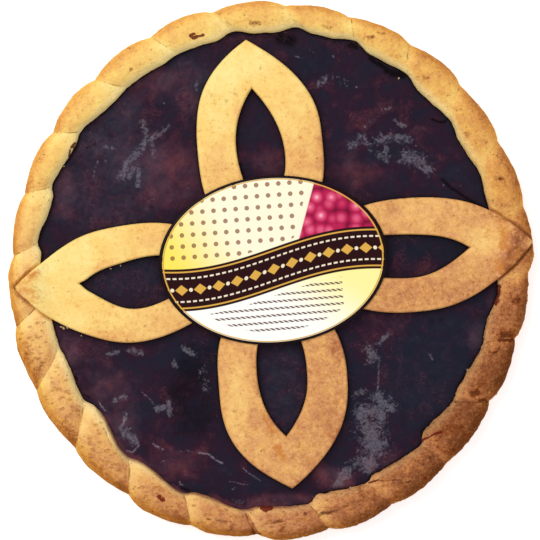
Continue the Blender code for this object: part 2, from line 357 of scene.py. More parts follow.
def grid_normals(points):
    """The normals of a grid whose columns run round in a ring."""
    around = np.roll(points, -1, axis=1) - np.roll(points, 1, axis=1)
    across = np.gradient(points, axis=0)
    normal = np.cross(around, across)
    return normal / (np.linalg.norm(normal, axis=-1, keepdims=True) + 1e-12)


# How brown the underside of the crust is
UNDERSIDE_BAKED = 0.52


def filled_up(masks, count):
    """The masks with a plain value for each of the points that come last in the piece."""
    return {
        title: np.append(values, np.full(count, UNDERSIDE_BAKED if title == "baked" else 0))
        for title, values in masks.items()
    }


def make_piece(name, points, faces, material, masks=None, stands_for=None, merge=0):
    """A piece from points and faces, shaded smooth, with its masks as attributes of its points."""
    mesh = bpy.data.meshes.new(name)
    mesh.from_pydata(np.asarray(points).reshape(-1, 3).tolist(), [], faces)
    for title, values in (masks or {}).items():
        kind, field = ("FLOAT_VECTOR", "vector") if values.ndim > 1 else ("FLOAT", "value")
        layer = mesh.attributes.new(title, kind, "POINT")
        layer.data.foreach_set(field, values.astype(np.float32).ravel())
    mesh.shade_smooth()
    mesh.materials.append(material)
    tidy_mesh(mesh, merge)
    piece = bpy.data.objects.new(name, mesh)
    bpy.context.scene.collection.objects.link(piece)
    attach(piece, "root")
    if stands_for:
        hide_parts(stands_for)
    return piece


def tidy_mesh(mesh, merge):
    """Joins points that meet and turns every face outwards."""
    shape = bmesh.new()
    shape.from_mesh(mesh)
    if merge:
        bmesh.ops.remove_doubles(shape, verts=shape.verts, dist=merge)
    bmesh.ops.recalc_face_normals(shape, faces=shape.faces)
    shape.to_mesh(mesh)
    shape.free()


# Materials

def linear(channel):
    share = channel / 255
    return share / 12.92 if share <= 0.04045 else ((share + 0.055) / 1.055) ** 2.4


def color_of(color):
    return [linear(channel) for channel in color] + [1]


def place_on(tree):
    """The place on the piece, in metres."""
    return tree.nodes.new("ShaderNodeTexCoord").outputs["Object"]


def color_ramp(tree, share, stops):
    """A color for each value of a field, through the stops: where, and which color."""
    node = tree.nodes.new("ShaderNodeValToRGB")
    tree.links.new(share.socket, node.inputs["Fac"])
    ramp = node.color_ramp
    while len(ramp.elements) < len(stops):
        ramp.elements.new(0.5)
    for element, (where, color) in zip(ramp.elements, stops):
        element.position = where
        element.color = color_of(color)
    return node.outputs["Color"]


def bump(tree, shader, height, distance):
    node = tree.nodes.new("ShaderNodeBump")
    node.inputs["Distance"].default_value = distance
    tree.links.new(height.socket, node.inputs["Height"])
    tree.links.new(node.outputs["Normal"], shader.inputs["Normal"])


def new_group(name, inputs, outputs):
    """A shader node group with named sockets, and its own input and output nodes."""
    group = bpy.data.node_groups.new(name, "ShaderNodeTree")
    for title, kind in inputs:
        group.interface.new_socket(title, in_out="INPUT", socket_type=kind)
    for title, kind in outputs:
        group.interface.new_socket(title, in_out="OUTPUT", socket_type=kind)
    return group, group.nodes.new("NodeGroupInput"), group.nodes.new("NodeGroupOutput")


def operation(name, swapped=False):
    """A method of Field that makes a Math node from the field and another value."""
    def method(field, other):
        return field.math(name, *((other, field) if swapped else (field, other)))
    return method


class Field:
    """A number that changes over a surface. Sums and products of fields become Math nodes."""

    def __init__(self, tree, socket):
        self.tree = tree
        self.socket = socket

    def math(self, operation, *values, clamp=False):
        node = self.tree.nodes.new("ShaderNodeMath")
        node.operation = operation
        node.use_clamp = clamp
        for value, socket in zip(values, node.inputs):
            give(self.tree, value, socket)
        return Field(self.tree, node.outputs[0])

    __add__ = __radd__ = operation("ADD")
    __mul__ = __rmul__ = operation("MULTIPLY")
    __sub__ = operation("SUBTRACT")
    __rsub__ = operation("SUBTRACT", swapped=True)
    __truediv__ = operation("DIVIDE")
    power = operation("POWER")
    below = operation("LESS_THAN")

    def size(self):
        return self.math("ABSOLUTE", self)

    def sine(self):
        return self.math("SINE", self)

    def clipped(self):
        return self.math("ADD", self, 0, clamp=True)

    def repeated(self, step):
        """The place within one repeat, counted from its middle."""
        return self.math("WRAP", self, step / 2, -step / 2)

    def rises(self, low, high):
        """0 up to low, 1 from high on, smooth between. With high below low it falls instead."""
        node = self.tree.nodes.new("ShaderNodeMapRange")
        node.interpolation_type = "SMOOTHSTEP"
        self.tree.links.new(self.socket, node.inputs["Value"])
        node.inputs["From Min"].default_value = min(low, high)
        node.inputs["From Max"].default_value = max(low, high)
        node.inputs["To Min"].default_value = 0 if low < high else 1
        node.inputs["To Max"].default_value = 1 if low < high else 0
        return Field(self.tree, node.outputs["Result"])


def give(tree, value, socket):
    """Puts a field, or a plain number, into a node's input."""
    if isinstance(value, Field):
        tree.links.new(value.socket, socket)
    else:
        socket.default_value = value


def length_of(first, second):
    return (first.power(2) + second.power(2)).power(0.5)


def new_material(name, roughness, specular):
    material = bpy.data.materials.new(name)
    material.use_nodes = True
    shader = material.node_tree.nodes["Principled BSDF"]
    for title, value in (("Roughness", roughness), ("Metallic", 0), ("Specular IOR Level", specular)):
        shader.inputs[title].default_value = value
    return material, material.node_tree, shader


def masks_of(tree, *titles):
    """The piece's own masks, which its points carry."""
    fields = []
    for title in titles:
        node = tree.nodes.new("ShaderNodeAttribute")
        node.attribute_name = title
        fields.append(Field(tree, node.outputs["Fac"]))
    return fields


def noise_field(tree, place, scale, detail, roughness, distortion=0):
    node = tree.nodes.new("ShaderNodeTexNoise")
    tree.links.new(place, node.inputs["Vector"])
    give(tree, scale, node.inputs["Scale"])
    for title, value in (("Detail", detail), ("Roughness", roughness), ("Distortion", distortion)):
        node.inputs[title].default_value = value
    return Field(tree, node.outputs["Fac"])


def cell_fields(tree, place, scale, randomness=1):
    """Cells over a surface: how far each place is from its cell's middle and two random numbers
    of the cell."""
    node = tree.nodes.new("ShaderNodeTexVoronoi")
    tree.links.new(place, node.inputs["Vector"])
    give(tree, scale, node.inputs["Scale"])
    node.inputs["Randomness"].default_value = randomness
    pick = tree.nodes.new("ShaderNodeSeparateColor")
    tree.links.new(node.outputs["Color"], pick.inputs["Color"])
    return [Field(tree, socket) for socket in (node.outputs["Distance"], *pick.outputs[:2])]


def mix_colors(tree, share, first, second):
    node = tree.nodes.new("ShaderNodeMix")
    node.data_type = "RGBA"
    give(tree, share, node.inputs["Factor"])
    sockets = [socket for socket in node.inputs if socket.type == "RGBA"]
    for socket, color in zip(sockets, (first, second)):
        if isinstance(color, tuple):
            socket.default_value = color_of(color)
        else:
            tree.links.new(color, socket)
    return [socket for socket in node.outputs if socket.type == "RGBA"][0]


def paint(tree, shader, color, *layers):
    """Gives the shader a color with others laid over it, each with the share that it covers."""
    for share, over in layers:
        color = mix_colors(tree, share, color, over)
    tree.links.new(color, shader.inputs["Base Color"])


def put_group(tree, group, place, **values):
    """The fields that come out of a group when it is given these values."""
    node = tree.nodes.new("ShaderNodeGroup")
    node.node_tree = group
    tree.links.new(place, node.inputs["Place"])
    for title, value in values.items():
        node.inputs[title.replace("_", " ")].default_value = value
    return [Field(tree, socket) for socket in node.outputs]


# How far the pores of the dough are pushed about, so that they don't lie in rows
PORE_PUSH = 0.0016


def make_dough_group():
    """Baked dough: uneven browning, freckles where it caught, pores and a fine dry grain."""
    inputs = [("Place", "NodeSocketVector"), ("Patches per metre", "NodeSocketFloat"),
              ("Pores per metre", "NodeSocketFloat"), ("Pore share", "NodeSocketFloat")]
    titles = ("Browning", "Mottle", "Freckles", "Pores", "Grain", "Blush")
    outputs = [(title, "NodeSocketFloat") for title in titles]
    group, given, made = new_group("baked dough", inputs, outputs)
    place = given.outputs["Place"]
    patches, pores_scale, pore_share = (Field(group, given.outputs[title]) for title, _ in inputs[1:])
    spreads = ((1, 4, 0.55, 0), (2.7, 3, 0.55, 0.5), (6, 2, 0.55, 0.3), (13, 2, 0.6, 0))
    broad, middle, fine, dry = (
        noise_field(group, place, patches * times, *values) for times, *values in spreads
    )
    bent = group.nodes.new("ShaderNodeTexNoise")
    push = group.nodes.new("ShaderNodeVectorMath")
    push.operation = "MULTIPLY_ADD"
    push.inputs[1].default_value = (PORE_PUSH,) * 3
    for start, end in (
        (place, bent.inputs["Vector"]), (pores_scale.socket, bent.inputs["Scale"]),
        (bent.outputs["Color"], push.inputs[0]), (place, push.inputs[2]),
    ):
        group.links.new(start, end)
    distance, pick, width = cell_fields(group, push.outputs[0], pores_scale)
    chosen = pick.below(pore_share * broad.rises(0.38, 0.60))
    reach = distance / (width.power(2) * 0.17 + 0.09) + (dry - 0.5) * 1.6
    fields = (
        (broad - 0.5) * 0.9 + (middle - 0.5) * 0.9,
        (fine - 0.5) * 1.2 + (dry - 0.5) * 0.9,
        (fine * 0.6 + dry * 0.4).rises(0.58, 0.70),
        reach.rises(1.1, 0.5) * chosen,
        fine * 0.5 + dry * 0.5,
        (middle * 0.75 + broad * 0.25).rises(0.34, 0.68),
    )
    for title, field in zip(titles, fields):
        group.links.new(field.socket, made.inputs[title])
    return group


# How far apart the small dents in the crust lie, and how much they are stretched
DIMPLE_STEP = 0.0024
DIMPLE_STRETCH = (0.65, 1.3, 1)
# The colors of dough from raw-pale to scorched, and the pinker ones that it has in patches
DOUGH_COLORS = (
    (0, (250, 238, 178)), (0.16, (249, 225, 142)), (0.34, (245, 206, 114)), (0.5, (235, 180, 92)),
    (0.65, (216, 151, 75)), (0.78, (186, 118, 60)), (0.9, (148, 87, 42)), (1, (104, 54, 24)),
)
BLUSH_COLORS = (
    (0, (250, 232, 180)), (0.34, (244, 201, 132)), (0.5, (230, 175, 112)), (0.65, (208, 146, 96)),
    (0.78, (184, 117, 79)), (0.9, (150, 90, 59)), (1, (104, 56, 32)),
)
# Paler dough on the rim's inner flank, lightened further as painted light where it lies in shade
CREAM_AND_LIGHT = (253, 231, 166)
# Painted light and painted shade on the dough's fine grain: a paler color where the grain noise is
# low and a darker one where it is high
GRAIN_LIGHT = (255, 206, 138)
GRAIN_SHADE = (120, 62, 8)
PORE_COLOR = (146, 86, 42)
# Painted shade in the rim's creases
CREASE_SHADE_COLOR = (150, 94, 46)
BROWNED = (140, 70, 32)
SCORCH_COLOR = (94, 43, 19)
# Painted shade in the crust's pits and cracks
PIT_SHADE_COLOR = (96, 50, 24)
# Warm painted shade in the crust's small dimples
DIMPLE_SHADE_COLOR = (206, 118, 44)
AMBER = (182, 114, 8)
JAM_STAIN = (104, 24, 18)
JAM_SMEAR = (132, 76, 62)


def crust_material(dough):
    material, tree, shader = new_material("baked crust", 0.75, 0)
    place = place_on(tree)
    browning, mottle, freckles, pores, grain, blush = put_group(
        tree, dough, place, Patches_per_metre=110, Pores_per_metre=430, Pore_share=0.62
    )
    baked, rough, pink, cream_and_light, crease = masks_of(tree, "baked", "rough", "pink", "cream_and_light", "crease")
    pitted, scorch, pit, smear, stain = masks_of(tree, "pitted", "scorch", "pit", "smear", "stain")
    uneven = grain - 0.5
    tone = baked + browning * 0.30 + mottle * (0.15 + rough * 0.07) + freckles * (0.04 + rough * 0.06)
    tone = (tone - tone.rises(0.86, 1.26) * 0.15).clipped()
    burnt = scorch * 1.45 + mottle * 0.5 + uneven * 0.8
    sunk = (pit + uneven * 0.7).rises(0.30, 0.75)
    stretched = tree.nodes.new("ShaderNodeMapping")
    stretched.inputs["Scale"].default_value = DIMPLE_STRETCH
    tree.links.new(place, stretched.inputs["Vector"])
    distance, pick, width = cell_fields(tree, stretched.outputs[0], 1 / DIMPLE_STEP)
    dimples = (distance + grain - 0.6 + width * 0.2).rises(0.42, 0.05)
    dimples = dimples * (pitted * 0.9 - pick).rises(0, 0.08)
    paint(
        tree, shader, color_ramp(tree, tone, DOUGH_COLORS),
        (blush * 0.35 + 0.05 + pink, color_ramp(tree, tone, BLUSH_COLORS)),
        (pink.rises(-0.02, -0.30) * 0.3, AMBER),
        # paler dough on the inner flank, with painted light where it lies in shade
        (cream_and_light * (0.85 - mottle * 0.3), CREAM_AND_LIGHT),
        # painted shade in the creases
        ((crease + uneven * 1.6).rises(0.28, 0.8) * 0.6, CREASE_SHADE_COLOR),
        # painted light and shade on the grain
        (grain.rises(0.50, 0.34) * (0.14 - rough * 0.06), GRAIN_LIGHT),
        (grain.rises(0.50, 0.68) * (0.09 - rough * 0.02), GRAIN_SHADE),
        (pores * (pitted * 0.15 + rough * 0.25 + 0.33), PORE_COLOR),
        (burnt.rises(0.15, 0.75) * 0.55, BROWNED),
        (burnt.rises(0.60, 1.05) * 0.85, SCORCH_COLOR),
        # painted shade in the pits and cracks
        (sunk * 0.85, PIT_SHADE_COLOR),
        ((smear + browning * 0.5).rises(0.1, 1) * 0.8, JAM_SMEAR),
        ((stain + uneven * 0.9).rises(0.40, 0.60) * 0.92, JAM_STAIN),
        # warm painted shade in the dimples
        (dimples * 0.5, DIMPLE_SHADE_COLOR),
    )
    bump(tree, shader, grain * (1.2 + rough * 0.7) - pores * 0.9 - sunk * 0.4 - dimples * 1.1, 0.0004)
    return material


FLOWER_PORE_COLOR = (160, 106, 54)
FLOWER_BROWNED = (200, 124, 54)
# Painted shade in the flower's folds
FOLD_SHADE_COLOR = (132, 76, 38)
# Darker color in the flower's sunk pits: brown spots in part, painted shade in part
FLOWER_SPOT_AND_PIT_SHADE = (116, 66, 30)


def flower_material(dough):
    material, tree, shader = new_material("baked pastry flower", 0.72, 0)
    place = place_on(tree)
    browning, mottle, freckles, pores, grain, blush = put_group(
        tree, dough, place, Patches_per_metre=80, Pores_per_metre=330, Pore_share=0.42
    )
    baked, scorch, fold_shade, pit = masks_of(tree, "baked", "scorch", "fold_shade", "pit")
    uneven = grain - 0.5
    broad = noise_field(tree, place, 1 / 0.016, 1, 0.4, 0.5) - 0.5
    tone = baked + browning * (0.20 + baked * 0.14) + mottle * (0.09 + baked * 0.09)
    tone = tone + freckles * baked * 0.08 + broad * (0.55 - baked * 0.75).clipped()
    tone = tone.clipped()
    sunk = (pit + uneven * 0.7).rises(0.32, 0.80)
    paint(
        tree, shader, color_ramp(tree, tone, DOUGH_COLORS),
        ((blush * 0.35 + 0.65) * baked.rises(0.10, 0.60), color_ramp(tree, tone, BLUSH_COLORS)),
        # painted light and shade on the grain
        (grain.rises(0.50, 0.36) * (0.04 + baked * 0.25), GRAIN_LIGHT),
        (grain.rises(0.50, 0.66) * (0.01 + baked * 0.21), GRAIN_SHADE),
        (pores * (0.08 + baked * 0.55), FLOWER_PORE_COLOR),
        ((scorch + mottle * 0.7 + uneven * 0.5).rises(0.05, 1) * 0.8, FLOWER_BROWNED),
        # painted shade in the folds
        ((fold_shade + mottle * 0.5).rises(0.15, 0.95) * 0.75, FOLD_SHADE_COLOR),
        # brown spots and painted shade in the pits
        (sunk * 0.8, FLOWER_SPOT_AND_PIT_SHADE),
    )
    bump(tree, shader, grain * (1.1 + baked * 0.8) - pores * 0.9 - sunk * 0.5, 0.0003)
    return material


# The jam's noises: the size of each one, its detail, its roughness and its distortion
JAM_NOISES = (
    (0.020, 3, 0.5, 0.6), (0.0085, 3, 0.5, 0.7), (0.0050, 5, 0.60, 0.6), (0.0016, 2, 0.5, 0),
    (0.0046, 4, 0.7, 1.6), (0.0030, 4, 0.6, 1.4), (0.0010, 2, 0.6, 0),
)
JAM_COLORS = (
    (0, (28, 29, 44)), (0.25, (33, 26, 42)), (0.5, (42, 22, 39)), (0.75, (59, 27, 41)), (1, (82, 37, 46)),
)
JAM_PALE = (118, 94, 110)
JAM_DEEP = (12, 6, 14)
JAM_FRINGE = (104, 54, 62)
# Painted shadow where the jam meets the rim and the flower
JAM_EDGE_SHADE = (6, 2, 5)
# Painted sheen of the wrapping film on the jam, where the jam is also rougher
JAM_HAZE_SHEEN = (128, 124, 136)
# Painted highlights on the jam
JAM_HIGHLIGHT = (150, 136, 148)
JAM_WISP = (150, 120, 130)


def jam_material():
    material, tree, shader = new_material("set raspberry jam", 0.4, 0.06)
    place = place_on(tree)
    broad, hue, pulp, fine, lines, streaks, speckle = (
        noise_field(tree, place, 1 / size, *values) - 0.5 for size, *values in JAM_NOISES
    )
    warm, light, edge, fringe, dull_sheen, highlight_streak = masks_of(
        tree, "warm", "light", "edge", "fringe", "dull_sheen", "highlight_streak"
    )
    warmth = warm + broad * 0.8 + hue * 1.4 + fine * 0.1 + 0.40
    light = light + pulp * 0.9 + fine * 0.4
    wisps = lines.size().rises(0.018, 0.004) * (hue * 0.5 + broad * 0.5).rises(0, 0.12)
    haze = (dull_sheen * 1.4 + streaks * 2.2 + speckle * 0.7).rises(0.42, 1.05)
    dotted = (speckle * 0.75 + streaks * 0.25).rises(-0.12, 0.16)
    sharp = (highlight_streak + speckle * 1.1).rises(0.25, 0.80)
    paint(
        tree, shader, color_ramp(tree, warmth.clipped(), JAM_COLORS),
        (light.rises(0, 1.2) * 0.30, JAM_PALE),
        (light.rises(0, -1) * 0.8, JAM_DEEP),
        ((fringe + pulp * 1.5 + fine * 0.8).rises(0.30, 1.1) * 0.5, JAM_FRINGE),
        # painted shadow along the dough and in the dark spots
        ((edge * 0.95).clipped(), JAM_EDGE_SHADE),
        # painted sheen of the wrapping film
        (haze * (dotted * 0.26 + 0.24), JAM_HAZE_SHEEN),
        # painted highlights
        (sharp * 0.45, JAM_HIGHLIGHT),
        (wisps * 0.16, JAM_WISP),
    )
    rough = haze * 0.3 + sharp * 0.2 + edge * 0.35 + pulp * 0.25 + 0.38
    tree.links.new(rough.clipped().socket, shader.inputs["Roughness"])
    bump(tree, shader, pulp * 0.6 + fine * 0.4 + (speckle + 0.5) * haze * 0.5, 0.0003)
    return material


# The label's print. Its sizes are millimetres.
RIBBON_HALF = 9.5
RIBBON_SWING = 6.5
RIBBON_TURNS = 2.1
RIBBON_BELOW = 4
RIBBON_LINE = 8.1
LOZENGE_STEP = 8.4
BERRY_SIZE = 5.2
DOT_STEP = 5
ROW_STEP = 3.1
DASH_STEP = 2.3
BERRY_COLORS = ((0, (247, 196, 208)), (0.25, (226, 92, 128)), (0.52, (186, 34, 82)), (0.8, (120, 12, 48)))
YELLOW_PRINT = (248, 226, 92)
CREAM_PRINT = (250, 243, 214)
WHITE_PRINT = (254, 252, 244)
LEMON_PRINT = (253, 240, 158)
PLUM_PRINT = (78, 30, 44)
DOT_PRINT = (142, 92, 62)
RIBBON_PRINT = (40, 10, 14)
GOLD_PRINT = (218, 168, 74)
BEAD_PRINT = (240, 226, 200)
BORDER_PRINT = (26, 10, 12)


def label_material():
    """The print, in millimetres right and up of the label's middle: fields of color, a curved
    dark ribbon with a chain of lozenges, berry grains, rows of dots and rows of short dashes."""
    material, tree, shader = new_material("printed paper", 0.32, 0.08)
    node = tree.nodes.new("ShaderNodeAttribute")
    node.attribute_name = "print_place"
    split = tree.nodes.new("ShaderNodeSeparateXYZ")
    tree.links.new(node.outputs["Vector"], split.inputs[0])
    right, up = (Field(tree, socket) for socket in split.outputs[:2])
    long_share = right / (LABEL_HALF_LENGTH * 1000)
    reach = length_of(long_share, up / (LABEL_HALF_WIDTH * 1000))
    above = up - (long_share * RIBBON_TURNS).sine() * RIBBON_SWING + RIBBON_BELOW
    off_ribbon = above.size()
    on_ribbon = off_ribbon.rises(RIBBON_HALF + 0.1, RIBBON_HALF - 0.1)
    slanted = right - up * 0.35
    berries = cell_fields(tree, node.outputs["Vector"], 1 / BERRY_SIZE, 0.55)[0]
    lower = mix_colors(tree, (right * 0.7 + up).rises(-22, 16), WHITE_PRINT, LEMON_PRINT)
    dashes = up.repeated(ROW_STEP).size().rises(0.62, 0.48)
    dashes = dashes * (right + up * 1.7).repeated(DASH_STEP).size().rises(0.85, 0.7)
    dashes = dashes * above.rises(-11.6, -12) * right.size().rises(30.5, 30) * reach.rises(0.86, 0.84)
    dots = length_of(right.repeated(DOT_STEP), (up + 0.8).repeated(DOT_STEP)).rises(1.15, 0.95)
    dots = dots * above.rises(10.5, 10.9) * slanted.rises(7, 6.6)
    lines = (off_ribbon - RIBBON_LINE).size().rises(0.42, 0.26)
    lozenges = (right.repeated(LOZENGE_STEP).size() / 2.9 + off_ribbon / 2.4).rises(1.06, 0.94)
    beads = length_of((right + LOZENGE_STEP / 2).repeated(LOZENGE_STEP), above).rises(0.95, 0.75)
    stitches = (off_ribbon - 5.2).size().rises(0.46, 0.32) * right.repeated(2.8).size().rises(0.95, 0.8)
    paint(
        tree, shader, mix_colors(tree, (right + up * 0.6).rises(-46, -4), YELLOW_PRINT, CREAM_PRINT),
        (slanted.rises(9, 9.7), color_ramp(tree, berries.clipped(), BERRY_COLORS)),
        (above.rises(0.3, -0.3), lower),
        (dashes * 0.9, PLUM_PRINT),
        (dots * 0.85, DOT_PRINT),
        (on_ribbon, RIBBON_PRINT),
        ((lines + lozenges).clipped() * on_ribbon, GOLD_PRINT),
        ((beads + stitches).clipped(), BEAD_PRINT),
        (reach.rises(0.952, 0.956) * reach.rises(0.968, 0.964), GOLD_PRINT),
        (reach.rises(0.967, 0.971), BORDER_PRINT),
    )
    fibres = noise_field(tree, place_on(tree), 1 / 0.0022, 3, 0.6)
    tree.links.new((fibres * 0.12 + 0.27).socket, shader.inputs["Roughness"])
    bump(tree, shader, fibres, 0.00006)
    return material


# Crust

def rim_section():
    """Rows over the rim from the floor inside to the foot outside: how far across the rim, the
    level, and how much of a crease's drop and of its notch in the outline each one takes."""
    turn = np.pi * (1 - np.arange(TOP_ROWS + 1) / TOP_ROWS)
    across = (1 + np.cos(turn)) / 2
    start = JAM_LEVEL + GAP + (SHOULDER_LEVEL - JAM_LEVEL - GAP) * across
    rise = np.abs(np.sin(turn)) ** TOP_ROUNDNESS
    rise[[0, -1]] = 0
    top = np.stack((across, start + (RIM_HEIGHT - start) * rise, rise, 0 * rise + 1))
    foot = 1 - FOOT_INSET / RIM_WIDTH
    down = np.arange(1, FLANK_ROWS + 1) / FLANK_ROWS
    flank = np.stack((
        1 + (foot - 1) * down + FLANK_BULGE * np.sin(np.pi * down),
        SHOULDER_LEVEL + (FOOT_ROUNDING - SHOULDER_LEVEL) * down, 0 * down,
        np.interp(down, (0, 0.5, 1), FLANK_NOTCHES),
    ))
    turn = np.pi / 2 * np.arange(1, FOOT_ROWS + 1) / FOOT_ROWS
    rounding = np.stack((
        foot - FOOT_ROUNDING / RIM_WIDTH * (1 - np.cos(turn)), FOOT_ROUNDING * (1 - np.sin(turn)),
        0 * turn, FLANK_NOTCHES[-1] - FOOT_NOTCH_LESS * np.sin(turn),
    ))
    inside = np.array([[0], [FLOOR_LEVEL], [0], [0]])
    return np.concatenate((inside, top, flank, rounding), axis=1)


def strand_columns():
    """The rim's columns: which strand each one is on, how far along it and how far that strand
    stands out."""
    chance = random.Random(24)
    step = np.arange(STRAND_COLUMNS) / STRAND_COLUMNS
    along = EVEN_SHARE * step + (1 - EVEN_SHARE) * (1 - np.cos(np.pi * step)) / 2
    extra = [chance.uniform(-STRAND_VARIES, STRAND_VARIES) for _ in STRANDS]
    count = len(STRANDS)
    strand = np.repeat(np.arange(count), STRAND_COLUMNS)
    return strand, np.tile(along, count), np.repeat(extra, STRAND_COLUMNS)


def near_creases(along, full, power):
    """How much of its narrowing a strand has, from the crease that it comes out of and from the
    next one."""
    leaving, arriving = full
    before = np.maximum(0, 1 - along / leaving) ** 2
    return before, np.maximum(0, (along - arriving) / (1 - arriving)) ** power


def between_creases(here, beyond, column, before, after):
    """The rim's radius between two creases, from where the strand is fullest."""
    fullest = here[..., column + 2]
    return fullest + (here[..., column] - fullest) * before + (beyond[..., column] - fullest) * after


def rim_points(columns, section):
    """The rim's points, each one's bearing and how full its strand is there."""
    strand, along, extra = (values[None] for values in columns)
    across, level, drop_share, notch_share = section[:, :, None]
    here, beyond = STRANDS[strand], STRANDS[(strand + 1) % len(STRANDS)]
    ends = here[..., :2] + (beyond - here)[..., :2] % 360 * along[..., None]
    inwards = 1 - across
    hooked = (1 - CREASE_HOOK) * inwards + CREASE_HOOK * inwards ** HOOK_POWER
    bearing = ends[..., 0] + (ends[..., 1] - ends[..., 0]) * hooked

    before, after = near_creases(along, OUTSIDE_FULL, NARROWING_POWER)
    outer = between_creases(here, beyond, 2, before * notch_share, after * notch_share)
    later = facing(here[..., 0], LATER_BEARING)
    leaving, arriving = (full + more * later for full, more in zip(INSIDE_FULL, INSIDE_LATER))
    before = 1 - smooth_step(along / leaving)
    inner = between_creases(here, beyond, 3, before, smooth_step((along - arriving) / (1 - arriving)))

    before, after = near_creases(along, BACK_FULL, FALLING_POWER)
    full = (1 - before) * (1 - after * (1 - CREASE_STEP / CREASE_DROP))
    depth = 1 - SHALLOWER * facing(bearing, SHALLOW_BEARING) ** 2
    drop = (extra * full - CREASE_DROP * (1 - full) * depth) * drop_share
    return at_bearing(bearing, inner + (outer - inner) * across, level + drop), bearing, full


# Marks on the crust: half its width in pixels of the picture, its strength, and the pixels that it
# runs through. Pits and cracks are sunk into the dough and darkened with painted shade, the others
# only color it.
CRUST_PITS = (
    (1, 0.9, (43.4, 153.8)), (0.9, 0.9, (38.5, 158)), (0.9, 0.7, (187.7, 29)), (0.7, 0.6, (184.6, 30)),
    (1.1, 0.8, (34.4, 346)), (1.2, 0.9, (33.2, 368.7)), (1.1, 0.8, (35.7, 381.6)),
    (1, 0.9, (58.9, 373.6)), (0.8, 0.7, (58.9, 381.2)), (0.9, 0.7, (50, 386)), (1.3, 0.75, (68.8, 389.6)),
    (0.8, 0.8, (48.7, 392.3)), (0.8, 0.7, (56.3, 391.4)), (0.9, 0.8, (64.7, 398.6)),
    (0.8, 0.7, (52.7, 397.7)), (0.8, 0.65, (67, 403.5)), (1.2, 1, (61.6, 423.3)), (1, 0.7, (110.7, 470)),
    (1, 0.7, (163.8, 491)), (1.3, 0.9, (231.7, 528.5)), (1.5, 1, (305.2, 512.8)),
    (1.1, 0.8, (344, 505.6)), (2, 1, (462, 427)), (1.6, 0.8, (441.6, 431)), (1.3, 0.9, (437, 447)),
    (1.5, 1, (430, 457)), (1, 0.7, (497.3, 368.7)), (1, 0.7, (482, 369.5)), (1, 0.6, (511, 368.7)),
    (1.2, 0.8, (465.6, 127)), (1, 0.9, (481.7, 119)), (1, 0.9, (509, 168)), (0.8, 0.7, (392.8, 49.6)),
    (0.9, 0.65, (432, 69.6)), (1, 0.75, (438.8, 71.4)), (0.9, 0.8, (495, 347.3)),
    (1.3, 0.6, (31.5, 337), (37, 334.8), (42, 336)),
)
CRUST_SCORCHES = (
    (1.6, 0.6, (367, 37.3), (374, 36.4)), (1.3, 0.55, (377, 31.8), (383.5, 33)),
    (1.5, 0.4, (363.8, 39.7)), (1.8, 0.5, (424, 77.5), (428, 77)), (1.8, 0.4, (446, 106)),
    (2, 0.5, (464, 133), (468, 135)), (2.2, 0.7, (497, 176.5), (501, 178.8)), (2.2, 0.4, (497, 156)),
    (2.4, 0.35, (322, 25), (330, 28)), (1.8, 0.6, (250, 22.5), (260, 22.5)),
    (5, 0.85, (501, 335), (510, 334)), (1.6, 1, (498.9, 339.5), (513, 340)),
    (3.2, 1, (472, 393.5), (477, 391.5)), (1.6, 0.9, (478, 399.5), (485, 398.5)),
    (2.2, 0.8, (515, 299), (519, 298.6)), (1.8, 0.7, (511.5, 302.5), (516, 302)),
    (2.4, 0.9, (424.6, 477.8)), (2.6, 0.9, (464, 435.4)), (2.6, 0.9, (453, 448.8)),
    (2.6, 0.6, (359.6, 487), (361, 494)), (2.2, 0.9, (252.5, 532.5), (258.5, 535)),
    (1.6, 0.7, (280, 530), (284, 526.6)), (1.3, 0.8, (130.7, 69)), (2, 0.7, (482, 383.3)),
    (2, 0.7, (441.6, 431)), (4.5, 0.45, (36, 374), (42, 362)), (5, 0.45, (68, 430), (73, 440)),
    (4, 0.4, (28, 348), (27, 362)), (4, 0.4, (118, 485), (126, 489)), (3.5, 0.35, (172, 508), (180, 518)),
    (5, 0.4, (400, 492), (388, 500)), (1.4, 0.6, (231, 527.5)), (2.5, 0.5, (447, 464)),
    (2.4, 0.5, (497, 369)), (1.6, 0.6, (20, 338)), (4, 0.5, (446, 432), (460, 427)),
    (3.4, 0.5, (438, 447), (450, 453)), (1.4, 0.9, (463, 427)), (1.3, 0.9, (447, 425)),
    (1.2, 0.9, (452, 437)), (1.3, 0.8, (436, 440)), (1.2, 0.8, (456, 415)), (1.1, 0.9, (470, 432)),
    (1.4, 0.7, (478, 415), (484, 411)), (1.2, 0.7, (443, 470)), (1.2, 0.7, (421, 487)),
    (2, 0.5, (488, 372), (484, 380)), (1.2, 0.8, (497, 372)), (1.2, 0.7, (505, 355)),
    (1.4, 0.6, (398, 497)),
)
CRUST_STAINS = (
    (1.6, 1, (193.5, 33.3), (190.5, 35), (192, 37.6), (196, 36.8), (200.5, 35.2), (203, 34.4)),
    (1.9, 1, (158.5, 496.3), (160.7, 498), (163, 500)), (1.8, 1, (74.5, 143), (72, 147)),
    (1.3, 0.8, (70, 150), (69, 156.4)), (1.6, 0.6, (83.4, 131.4)), (1.5, 0.6, (146.8, 77.9)),
    (1.8, 0.9, (420.5, 440.5), (423.5, 438.5)), (1.1, 0.9, (424.6, 438), (433.6, 433.6), (441.6, 431.8)),
    (1.3, 0.9, (368.6, 482), (377.5, 479)), (3, 1, (498, 287), (497, 295), (494.5, 302)),
    (2.8, 1, (262.5, 507.5), (266.5, 508.5), (270, 507.5)), (1.9, 0.9, (180.5, 490), (188, 490.5)),
    (0.9, 0.8, (254.5, 22.7)),
)
